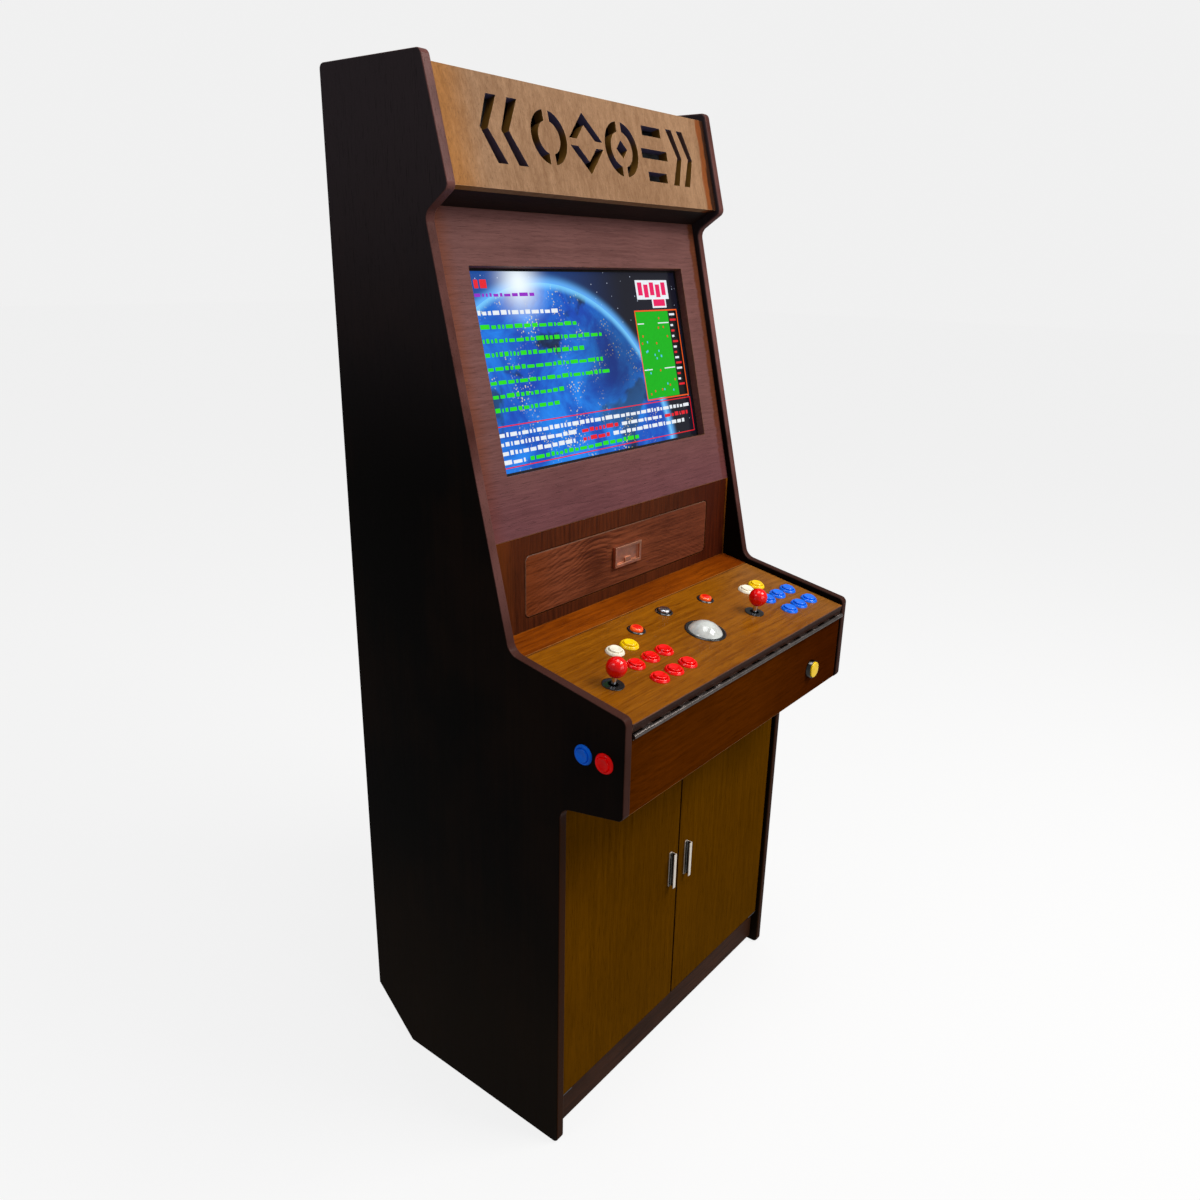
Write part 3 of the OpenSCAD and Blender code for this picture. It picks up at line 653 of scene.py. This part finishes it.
def cap_top(name):
    """Height of a cap's top over the panel it stands in."""
    if name == "coin_button":
        return 11.0 * MM
    if name in CENTRE_BUTTONS:
        return 8.0 * MM
    return 6.0 * MM if on_side(name) else 7.8 * MM


def button_place(name):
    """Frame on the panel's face, with z out of the panel."""
    low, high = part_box(name)
    out = -Vector(JOINTS[name + "_press"]["axis"])
    middle = (low + high) / 2
    return axis_frame(middle - out * (CAP_ROOT + cap_top(name)) / 2, out)


def shoulder(top, radius, foot):
    """Quarter round from the plunger's wall in to its face, starting at foot below the top."""
    turns = [math.radians(15 * k) for k in range(1, 7)]
    return [(PLUNGER_R - radius * (1 - math.cos(a)), top - foot + radius * math.sin(a)) for a in turns]


def cap_profile(top, dish):
    """Cap with a rounded shoulder and a dished face."""
    r = PLUNGER_R
    return ([(0, CAP_ROOT), (r - 0.0005, CAP_ROOT), (r, CAP_ROOT + 0.0005), (r, top - 0.0018)] +
            shoulder(top, 0.0017, 0.0017) +
            [(r - 0.0032, top - 0.0002), (r * 0.6, top - dish * 0.7), (r * 0.3, top - dish * 0.95),
             (0, top - dish)])


def dome_profile(top):
    """Raised cap with a rounded shoulder and a nearly flat face."""
    r = PLUNGER_R
    return ([(0, CAP_ROOT), (r, CAP_ROOT), (r, top - 0.0042)] + shoulder(top, 0.0034, 0.0042) +
            [(r * 0.5, top - 0.0003), (0, top)])


def rim_profile(rim_r, rim_h, panel):
    """Cup-shaped housing with a domed rim; from the middle of its floor, round to the inside of the cup."""
    deep = -(panel + CUP_DEPTH)
    inner_r, foot = 13.9 * MM, 0.9 * MM
    dome = [(rim_r - (rim_r - inner_r) * t, foot + (rim_h - foot) * math.sin(t * math.pi / 2))
            for t in (k / 8 for k in range(9))]
    return ([(0, deep - 0.002), (THREAD_R, deep - 0.002), (THREAD_R, 0.0), (rim_r, 0.0)] + dome +
            [(BORE_R + 0.0009, rim_h - 0.0004), (BORE_R, rim_h - 0.0019), (BORE_R, deep), (0, deep)])


def nut_and_switch(bm, place, panel):
    """Ring nut on the thread, and the switch with its three tags under the cup."""
    thread_r, nut_r, nut_foot = 13.8 * MM, 17.2 * MM, -panel - 5 * MM
    lathe_mesh(bm, [(thread_r, -panel), (thread_r, nut_foot), (nut_r, nut_foot), (nut_r, -panel)], place, 24)
    deep = -(panel + 22 * MM)
    half_w, half_d, height = 10 * MM, 5 * MM, 11.8 * MM
    box_mesh(bm, (-half_w, -half_d, deep), (half_w, half_d, deep + height), place)
    tag_w, tag_d = 1.5 * MM, 0.4 * MM
    for x in (-6 * MM, 0.0, 6 * MM):
        box_mesh(bm, (x - tag_w, -tag_d, deep - 0.1 * MM), (x + tag_w, tag_d, deep + 1 * MM), place)


def button_colours():
    """Each dished button's colour: the player's own, or white and yellow for the two behind."""
    colours = {}
    for player, own in (("p1", "red"), ("p2", "blue")):
        for number in range(1, 9):
            colours[f"{player}_button_{number}"] = {7: "white", 8: "yellow"}.get(number, own)
    for side in ("left", "right"):
        colours[f"{side}_side_button_front"] = "red"
        colours[f"{side}_side_button_rear"] = "blue"
    return colours


def dished_buttons(colours):
    for name, colour in colours.items():
        plastics, dish = (SIDE_PLASTIC, 1.2 * MM) if on_side(name) else (DECK_PLASTIC, 0.9 * MM)
        made = turned(name + "_cap", cap_profile(cap_top(name), dish), [button_place(name)], plastics[colour],
                      name)
        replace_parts(made, name)
    for panel_name, body, plastics, profile in (
            ("deck", "deck", DECK_PLASTIC, rim_profile(RIM_R, 4.8 * MM, BOARD)),
            ("side", "cabinet", SIDE_PLASTIC, rim_profile(RIM_R, 4.0 * MM, SIDE_BOARD))):
        for colour, material in plastics.items():
            places = [button_place(name) for name in colours
                      if colours[name] == colour and on_side(name) == (panel_name == "side")]
            turned(f"{panel_name}_rims_{colour}", profile, places, material, body, 64)


def centre_buttons():
    """Two raised orange caps and a silver one between them, in black rims."""
    places = [button_place(name) for name in CENTRE_BUTTONS]
    rim = rim_profile(RIM_R, 2.6 * MM, BOARD)
    turned("centre_button_rims", rim, places, BLACK, "deck", 64)
    for name in CENTRE_BUTTONS:
        place = button_place(name)
        if name.endswith("middle"):
            material, slot = SILVER_CAP, "silver_plastic"
        else:
            material = lit_plastic(name + "_plastic", srgb(214, 22, 6), srgb(255, 92, 26), place.translation,
                                   PLUNGER_R, place.to_3x3() @ Vector((0, 0, 1)))
            slot = "orange_plastic"
        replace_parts(turned(name + "_cap", dome_profile(cap_top(name)), [place], material, name), name)


def nuts_and_switches(colours):
    """What every button has under its panel: one piece in the deck and one in the cabinet."""
    in_deck = [name for name in colours if not on_side(name)] + CENTRE_BUTTONS
    in_cabinet = [name for name in colours if on_side(name)] + ["coin_button"]
    for body, names in (("deck", in_deck), ("cabinet", in_cabinet)):
        bm = bmesh.new()
        for name in names:
            nut_and_switch(bm, button_place(name), SIDE_BOARD if on_side(name) else BOARD)
        made = add_object(f"{body}_button_nuts_and_switches", finish_mesh(bm, body + "_nuts"), DULL_BLACK,
                          body)
        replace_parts(made, "deck_button_housings" if body == "deck" else "cabinet_button_housings")


def coin_button():
    """Broad yellow head on a plunger, in a tall bright bezel."""
    place = button_place("coin_button")
    rim_r, rim_h, head_r = 18.8 * MM, 8.5 * MM, 15.6 * MM
    deep = -(BOARD + CUP_DEPTH)
    cup_r = head_r + 0.3 * MM
    profile = [(0, deep - 0.002), (THREAD_R, deep - 0.002), (THREAD_R, 0), (rim_r, 0), (rim_r, 0.0012),
               (rim_r - 0.0005, 0.0022), (rim_r - 0.0009, rim_h - 0.0010), (rim_r - 0.0015, rim_h),
               (cup_r + 0.0006, rim_h), (cup_r, rim_h - 0.0008), (cup_r, 0.001), (BORE_R, 0.001),
               (BORE_R, deep), (0, deep)]
    turned("coin_button_bezel", profile, [place], DARK_CHROME, "cabinet", 64)
    head_foot, head_top = 4.3 * MM, cap_top("coin_button")
    head = [(0, CAP_ROOT), (PLUNGER_R, CAP_ROOT), (PLUNGER_R, head_foot), (head_r, head_foot),
            (head_r, head_top), (0, head_top)]
    cap = turned("coin_button_cap", rounded_profile(head, 0.0011), [place], YELLOW, "coin_button",
                 64)
    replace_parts(cap, "coin_button")


def stick_place(player):
    """Frame on the deck's face over a joystick's pivot, with z out of the deck."""
    pivot_depth = 22 * MM
    pivot = Vector(JOINTS[player + "_stick_sideways"]["pos_m"])
    return axis_frame(pivot + DECK_OUT * pivot_depth, DECK_OUT)


def joysticks():
    """Ball tops on their shafts, the dust washers, and the bases under the deck."""
    ball_r, ball_h = 17.5 * MM, 32 * MM
    shaft_r, collar_r = 4.5 * MM, 6.5 * MM
    low = -math.pi / 2 + 0.27          # where the arc starts, at the mouth of the shaft's socket
    arc = [(ball_r * math.cos(a), ball_h + ball_r * math.sin(a))
           for a in (low + (math.pi / 2 - low) * k / 28 for k in range(28))]
    ball_profile = [(0, ball_h - 0.012), (0.0044, ball_h - 0.012)] + arc + [(0, ball_h + ball_r)]
    shaft = rounded_profile([(0, -0.042), (shaft_r, -0.042), (shaft_r, -0.028), (collar_r, -0.027),
                             (collar_r, -0.0235), (shaft_r, -0.0225), (shaft_r, 0.0165), (0, 0.0165)], 0.0008)
    for player in ("p1", "p2"):
        body = player + "_stick"
        ball = turned(body + "_ball_top", ball_profile, [stick_place(player)], RED, body,
                      72, 60)
        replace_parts(ball, body)
        turned(body + "_shaft", shaft, [stick_place(player)], CHROME, body, 40)
    washers = [stick_place(player) for player in ("p1", "p2")]
    washer = rounded_profile([(0.0089, 0.0001), (0.0189, 0.0001), (0.019, 0.0007), (0.0178, 0.0012),
                              (0.0089, 0.0012)], 0.0003)
    turned("dust_washers", washer, washers, BLACK, "deck", 72)
    bm = node_solid("joystick_bases")
    top = [v for v in bm.verts if (v.co - washers[0].translation).dot(DECK_OUT) > -0.0002]
    bmesh.ops.delete(bm, geom=top, context="VERTS")
    made = add_object("joystick_base_boxes", finish_mesh(bm, "joystick_base_boxes"), DULL_BLACK, "deck")
    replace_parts(made, "joystick_bases")
    for player in ("p1", "p2"):
        frame["nodes"][player + "_gimbal"].data.materials[0] = STEEL


def trackball():
    """The ball and the ring that holds it, over the CAD's case."""
    low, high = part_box("trackball")
    centre = Vector(JOINTS["trackball_roll"]["pos_m"])
    radius = (high - low).z / 2
    bm = bmesh.new()
    bmesh.ops.create_icosphere(bm, subdivisions=6, radius=radius, matrix=Matrix.Translation(centre))
    ball = add_object("trackball_ball", finish_mesh(bm, "trackball_ball"), PEARL, "trackball")
    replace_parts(ball, "trackball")
    centre_depth = 20 * MM
    place = axis_frame(centre + DECK_OUT * centre_depth, DECK_OUT)
    ring = rounded_profile([(0.0332, -0.003), (0.0388, -0.003), (0.0390, 0.0002), (0.0388, 0.0012),
                            (0.0368, 0.0020), (0.0345, 0.0016), (0.0332, 0.0002)], 0.0006)
    turned("trackball_ring", ring, [place], BLACK, "deck", 96)
    frame["nodes"]["trackball_housing"].data.materials[0] = DULL_BLACK


# ---------------- screen

SCREEN_W = 587 * MM
SCREEN_H = 330 * MM
SCREEN_MIDDLE = 265.5 * MM     # from the bezel's foot up its slope to the picture's middle


def screen_frame():
    """Frame on the picture: origin at its top left corner, x right, y down, z out of the glass."""
    low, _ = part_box("monitor_bezel")
    foot = Vector((0, low.y, low.z + BOARD * math.sin(SCREEN_TILT)))
    up = Vector((0, math.sin(SCREEN_TILT), math.cos(SCREEN_TILT)))
    out = Vector((0, -math.cos(SCREEN_TILT), math.sin(SCREEN_TILT)))
    glass_depth = BOARD + 1.2 * MM
    corner = foot + up * (SCREEN_MIDDLE + SCREEN_H / 2) - RIGHT * SCREEN_W / 2 - out * glass_depth
    return Matrix.Translation(corner) @ Matrix((RIGHT, -up, out)).transposed().to_4x4()


def glow(name, colour, strength=1.0):
    """One colour of the picture, a little uneven."""
    s = Shader(name)
    uneven = s.mix(s.ramp(s.noise(s.place(), 240.0), 0.3, 0.7, 0.0, 0.2), colour, darker(colour, 0.6))
    s.set(color=(0.002, 0.002, 0.002, 1), rough=0.18, glow=uneven, glow_strength=strength)
    return s.material


def planet_material():
    """A generic blue planet seen from space, drawn from distances in the picture's own frame."""
    s = Shader("screen_planet")
    uv = s.node("ShaderNodeUVMap").outputs[0]
    x, y = s.part(uv, "X"), s.part(uv, "Y")

    def distance(cx, cy):
        dx, dy = s.math("SUBTRACT", x, cx), s.math("SUBTRACT", y, cy)
        return s.math("SQRT", s.math("ADD", s.math("MULTIPLY", dx, dx), s.math("MULTIPLY", dy, dy)))

    radius = 0.330
    away = distance(0.170, 0.352)
    cloud = s.noise(uv, 9.0, 6.0, 0.6, 0.6)
    land = s.noise(uv, 6.0, 5.0, 0.55, 0.3)
    sea = s.mix(s.ramp(cloud, 0.35, 0.7), srgb(4, 66, 176), srgb(24, 140, 246))
    ground = s.mix(s.ramp(cloud, 0.4, 0.6), srgb(4, 26, 66), srgb(32, 90, 150))
    globe = s.mix(s.ramp(land, 0.54, 0.60), sea, ground)
    towns = s.ramp(s.noise(uv, 16.0, 4.0), 0.50, 0.62)
    lights = s.math("MULTIPLY", s.ramp(s.spots(uv, 190.0), 0.36, 0.12), towns)
    globe = s.mix(s.math("MULTIPLY", lights, 0.9), globe, srgb(248, 232, 140))
    dusk = s.ramp(distance(0.36, 0.16), 0.16, 0.02)
    globe = s.mix(s.math("MULTIPLY", dusk, 0.6), globe, srgb(2, 12, 44))
    limb = s.ramp(away, radius * 0.955, radius * 0.998)
    globe = s.mix(s.math("MULTIPLY", limb, 0.85), globe, srgb(120, 206, 255))
    halo = s.ramp(away, radius + 0.024, radius)
    halo = s.math("MULTIPLY", halo, halo)
    stars = s.math("MULTIPLY", s.ramp(s.spots(uv, 75.0), 0.10, 0.03), 0.9)
    space = s.mix(s.ramp(x, 0.05, 0.42), srgb(10, 70, 150), srgb(8, 10, 26))
    space = s.mix(stars, space, srgb(220, 232, 255))
    space = s.mix(s.math("MULTIPLY", halo, 0.85), space, srgb(96, 178, 255))
    picture = s.mix(s.math("GREATER_THAN", away, radius), globe, space)
    flare = s.ramp(distance(0.125, 0.022), 0.10, 0.0)
    picture = s.mix(s.math("MULTIPLY", s.math("MULTIPLY", flare, flare), 0.95), picture, srgb(240, 250, 255))
    s.set(color=(0.004, 0.004, 0.005, 1), rough=s.math("MULTIPLY_ADD", cloud, 0.06, 0.14), specular=0.5,
          glow=picture, glow_strength=1.05)
    return s.material


def quads(name, spans, material, lift, matrix):
    """One piece of flat tiles; spans are (left, top, right, bottom) as shares of the picture."""
    bm = bmesh.new()
    for left, top, right, bottom in spans:
        low = (left * SCREEN_W, top * SCREEN_H, lift)
        high = (right * SCREEN_W, bottom * SCREEN_H, lift + 0.0001)
        box_mesh(bm, low, high, matrix)
    return add_object(name, finish_mesh(bm, name), material, "cabinet")


def words(left, top, right, height, rng):
    """Blocks of uneven length in place of a line of text."""
    spans, x = [], left
    while x < right - 0.012:
        wide = min(rng.uniform(0.006, 0.036), right - x)
        spans.append((x, top + height * rng.uniform(0.0, 0.3), x + wide, top + height))
        x += wide + 0.007
    return spans


def outline(left, top, right, bottom, w):
    """Four tiles round a field, all equally thick on the screen."""
    tall = w * SCREEN_W / SCREEN_H
    return [(left, top, right, top + tall), (left, bottom - tall, right, bottom),
            (left, top + tall, left + w, bottom - tall), (right - w, top + tall, right, bottom - tall)]


def screen_glass(matrix):
    """The thin glass with the planet on it; its UV map is in metres from the picture's top left corner."""
    bm = bmesh.new()
    edge, thickness = 4 * MM, 0.8 * MM
    right, bottom = SCREEN_W - edge, SCREEN_H - edge
    corners = [(edge, edge), (right, edge), (right, bottom), (edge, bottom)]
    layer = bm.loops.layers.uv.new("UVMap")
    face = bm.faces.new([bm.verts.new(matrix @ Vector((x, y, 0))) for x, y in corners])
    for loop, corner in zip(face.loops, corners):
        loop[layer].uv = corner
    backed = bmesh.ops.extrude_face_region(bm, geom=[face])
    bmesh.ops.translate(bm, verts=[v for v in backed["geom"] if isinstance(v, bmesh.types.BMVert)],
                        vec=matrix.to_3x3() @ Vector((0, 0, -thickness)))
    add_object("screen_picture", finish_mesh(bm, "screen_picture"), planet_material(), "cabinet")


def screen():
    """Rows of blocks, a badge, a preview and a help box, in tiles that stand a hair off the glass."""
    matrix = screen_frame()
    rng = random.Random(7)

    def draw(name, spans, material, lift=0.2 * MM):
        quads("screen_" + name, spans, material, lift, matrix)

    def line(top, *stretches):
        return [s for left, right in stretches for s in words(left, top, right, 0.023, rng)]

    screen_glass(matrix)
    white = glow("screen_white", srgb(238, 244, 250))
    green = glow("screen_green", srgb(40, 232, 20), 0.95)
    red = glow("screen_red", srgb(236, 24, 40))
    tops = [0.197 + 0.067 * k for k in range(8)]
    ends = [0.37, 0.44, 0.55, 0.47, 0.54, 0.56, 0.33, 0.30]
    draw("title", words(0.035, 0.05, 0.10, 0.042, rng), red)
    draw("subtitle", words(0.03, 0.115, 0.27, 0.018, rng), glow("screen_purple", srgb(150, 40, 200)))
    draw("first_row", line(tops[0], (0.03, ends[0])), white)
    draw("rows", [s for top, end in zip(tops[1:], ends[1:]) for s in line(top, (0.03, end))], green)

    draw("badge_edge", [(0.765, 0.055, 0.945, 0.165), (0.845, 0.15, 0.925, 0.215)], white, 0.1 * MM)
    badge = [(0.775 + 0.033 * k, 0.068 + 0.012 * (k % 2), 0.799 + 0.033 * k, 0.142 + 0.012 * (k % 2))
             for k in range(5)]
    pink = glow("screen_pink", srgb(236, 20, 96))
    draw("badge", badge + [(0.852, 0.166, 0.918, 0.205)], pink, 0.3 * MM)

    field = glow("screen_field", srgb(8, 190, 14), 0.9)
    dark = glow("screen_dark", srgb(10, 10, 14), 0.6)
    orange = glow("screen_orange", srgb(255, 96, 20))
    draw("preview_field", [(0.742, 0.235, 0.925, 0.735)], field, 0.1 * MM)
    draw("preview_panel", [(0.925, 0.235, 0.975, 0.735)], dark, 0.1 * MM)
    draw("preview_frame", outline(0.737, 0.226, 0.98, 0.745, 0.004), orange)
    lines = [(0.745, 0.30, 0.78, 0.306), (0.86, 0.30, 0.922, 0.306), (0.745, 0.565, 0.79, 0.571),
             (0.86, 0.565, 0.922, 0.571)]
    spots = [(rng.uniform(0.75, 0.91), rng.uniform(0.26, 0.71)) for _ in range(26)]
    marks = [(x, y, x + 0.006, y + 0.012) for x, y in spots]
    tally = [(0.932, 0.25 + 0.032 * k, 0.932 + rng.uniform(0.012, 0.036), 0.262 + 0.032 * k)
             for k in range(14)]
    draw("preview_lines", lines + tally[::2], white, 0.3 * MM)
    draw("preview_marks", marks[::2], glow("screen_cyan", srgb(90, 200, 240)), 0.3 * MM)
    draw("preview_dots", marks[1::2] + tally[1::2], red, 0.3 * MM)

    first, second, third, fourth = 0.787, 0.832, 0.877, 0.922
    draw("help_frame", outline(0.012, 0.755, 0.985, 0.965, 0.003), red)
    draw("help_white", line(first, (0.025, 0.97)) + line(second, (0.025, 0.36), (0.58, 0.80))
         + line(third, (0.025, 0.36), (0.53, 0.93)) + line(fourth, (0.025, 0.12)), white)
    draw("help_red", line(second, (0.38, 0.56), (0.82, 0.97)) + line(third, (0.38, 0.51)), red)
    draw("help_green", line(fourth, (0.135, 0.66)), green)
    frame["nodes"]["monitor"].data.materials[0] = BLACK


# ---------------- hardware and inside

def screws(name, places, material, body, radius=0.0036):
    """Domed screw heads standing a little proud of a face."""
    bm = bmesh.new()
    profile = rounded_profile([(0, 0.0), (radius, 0.0), (radius, 0.0006), (radius * 0.6, 0.0016),
                               (0, 0.0018)], 0.0004)
    for place in places:
        lathe_mesh(bm, profile, place, 20)
    add_object(name, finish_mesh(bm, name), material, body)


def hardware():
    """Looks of the CAD's own metal and plastic pieces, and the screws round the back panel."""
    for node, material in (("deck_hinge_fixed_leaf", HINGE), ("deck_hinge_moving_leaf", HINGE),
                           ("door_hinges", STEEL), ("drawer_runners", STEEL), ("electronics", CASE_GREY),
                           ("mains_inlet", DULL_BLACK)):
        frame["nodes"][node].data.materials[0] = material
    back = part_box("back_panel")[1]
    inset, lowest, pitch = 12 * MM, 0.2, 0.25
    spots = [(side * (back.x - inset), lowest + pitch * k) for side in (-1, 1) for k in range(7)]
    spots += [(x, back.z - inset) for x in (-0.18, 0.0, 0.18)]
    places = [axis_frame(Vector((x, back.y, z)), Vector((0, 1, 0))) for x, z in spots]
    screws("back_panel_screws", places, STEEL, "cabinet")


# ---------------- stage, light and camera

def floor():
    """Wide pale floor that glows, most of all to the camera, so that it stays white far from the lights."""
    bm = bmesh.new()
    reach, rows = 30.0, 6
    steps = [reach * (2 * k / rows - 1) for k in range(rows + 1)]
    verts = [[bm.verts.new((x, y, 0)) for x in steps] for y in steps]
    for low, high in zip(verts, verts[1:]):
        for i in range(rows):
            bm.faces.new((low[i], low[i + 1], high[i + 1], high[i]))
    mesh = bpy.data.meshes.new("floor")
    bm.to_mesh(mesh)
    bm.free()
    made = bpy.data.objects.new("floor", mesh)
    bpy.context.scene.collection.objects.link(made)
    s = Shader("floor_paper")
    seen = s.node("ShaderNodeLightPath").outputs["Is Camera Ray"]
    s.set(color=srgb(100, 100, 100), rough=0.9, specular=0.0, glow=(1, 1, 1, 1),
          glow_strength=s.math("MULTIPLY_ADD", seen, 0.62, 0.22))
    mesh.materials.append(s.material)


def area_light(name, place, aim, size, watts, colour=(1, 1, 1)):
    data = bpy.data.lights.new(name, "AREA")
    data.shape = "RECTANGLE"
    data.size, data.size_y = size
    data.energy = watts
    data.color = colour
    made = bpy.data.objects.new(name, data)
    made.location = place
    made.rotation_euler = (Vector(aim) - Vector(place)).to_track_quat("-Z", "Y").to_euler()
    bpy.context.scene.collection.objects.link(made)


def light():
    """Studio: a white backdrop that lights the cabinet only dimly, and four soft lamps."""
    scene = bpy.context.scene
    world = bpy.data.worlds.new("studio")
    scene.world = world
    world.use_nodes = True
    tree = world.node_tree
    backdrop, dim = tree.nodes["Background"], tree.nodes.new("ShaderNodeBackground")
    for background, strength in ((backdrop, 0.875), (dim, 0.22)):
        background.inputs["Color"].default_value = (1, 1, 1, 1)
        background.inputs["Strength"].default_value = strength
    choose = tree.nodes.new("ShaderNodeMixShader")
    tree.links.new(tree.nodes.new("ShaderNodeLightPath").outputs["Is Camera Ray"], choose.inputs[0])
    tree.links.new(dim.outputs[0], choose.inputs[1])
    tree.links.new(backdrop.outputs[0], choose.inputs[2])
    tree.links.new(choose.outputs[0], tree.nodes["World Output"].inputs["Surface"])
    area_light("key", (1.2, -2.2, 3.5), (0, -0.1, 1.1), (1.8, 1.2), 100, (1.0, 0.97, 0.93))
    area_light("fill", (0.3, -3.4, 1.6), (0, 0, 0.9), (2.4, 1.6), 27, (0.95, 0.96, 1.0))
    area_light("left", (-2.4, 0.2, 3.0), (-0.3, 0, 1.5), (0.8, 0.8), 10, (0.96, 0.95, 1.0))
    area_light("top", (0.2, -0.5, 3.8), (0, -0.1, 1.0), (1.6, 1.2), 34)
    scene.view_settings.view_transform = "Standard"


def camera():
    """The view that the picture was taken from: 29 mm lens, from the left and above the control deck."""
    data = bpy.data.cameras.new("camera")
    data.lens = 29.12
    data.sensor_width = 36
    made = bpy.data.objects.new("camera", data)
    azimuth, elevation, roll = math.radians(51.96), math.radians(-19.198), math.radians(1.248)
    ahead = Vector((math.sin(azimuth) * math.cos(elevation), math.cos(azimuth) * math.cos(elevation),
                    math.sin(elevation)))
    level = ahead.cross(Vector((0, 0, 1))).normalized()
    above = level.cross(ahead)
    right = level * math.cos(roll) + above * math.sin(roll)
    up = above * math.cos(roll) - level * math.sin(roll)
    made.matrix_world = (Matrix.Translation((-1.41255, -1.06617, 1.53924))
                         @ Matrix((right, up, -ahead)).transposed().to_4x4())
    bpy.context.scene.collection.objects.link(made)
    bpy.context.scene.camera = made


camera()
floor()
light()
cabinet_boards()
drawer()
COLOURS = button_colours()
dished_buttons(COLOURS)
centre_buttons()
nuts_and_switches(COLOURS)
coin_button()
joysticks()
trackball()
screen()
hardware()
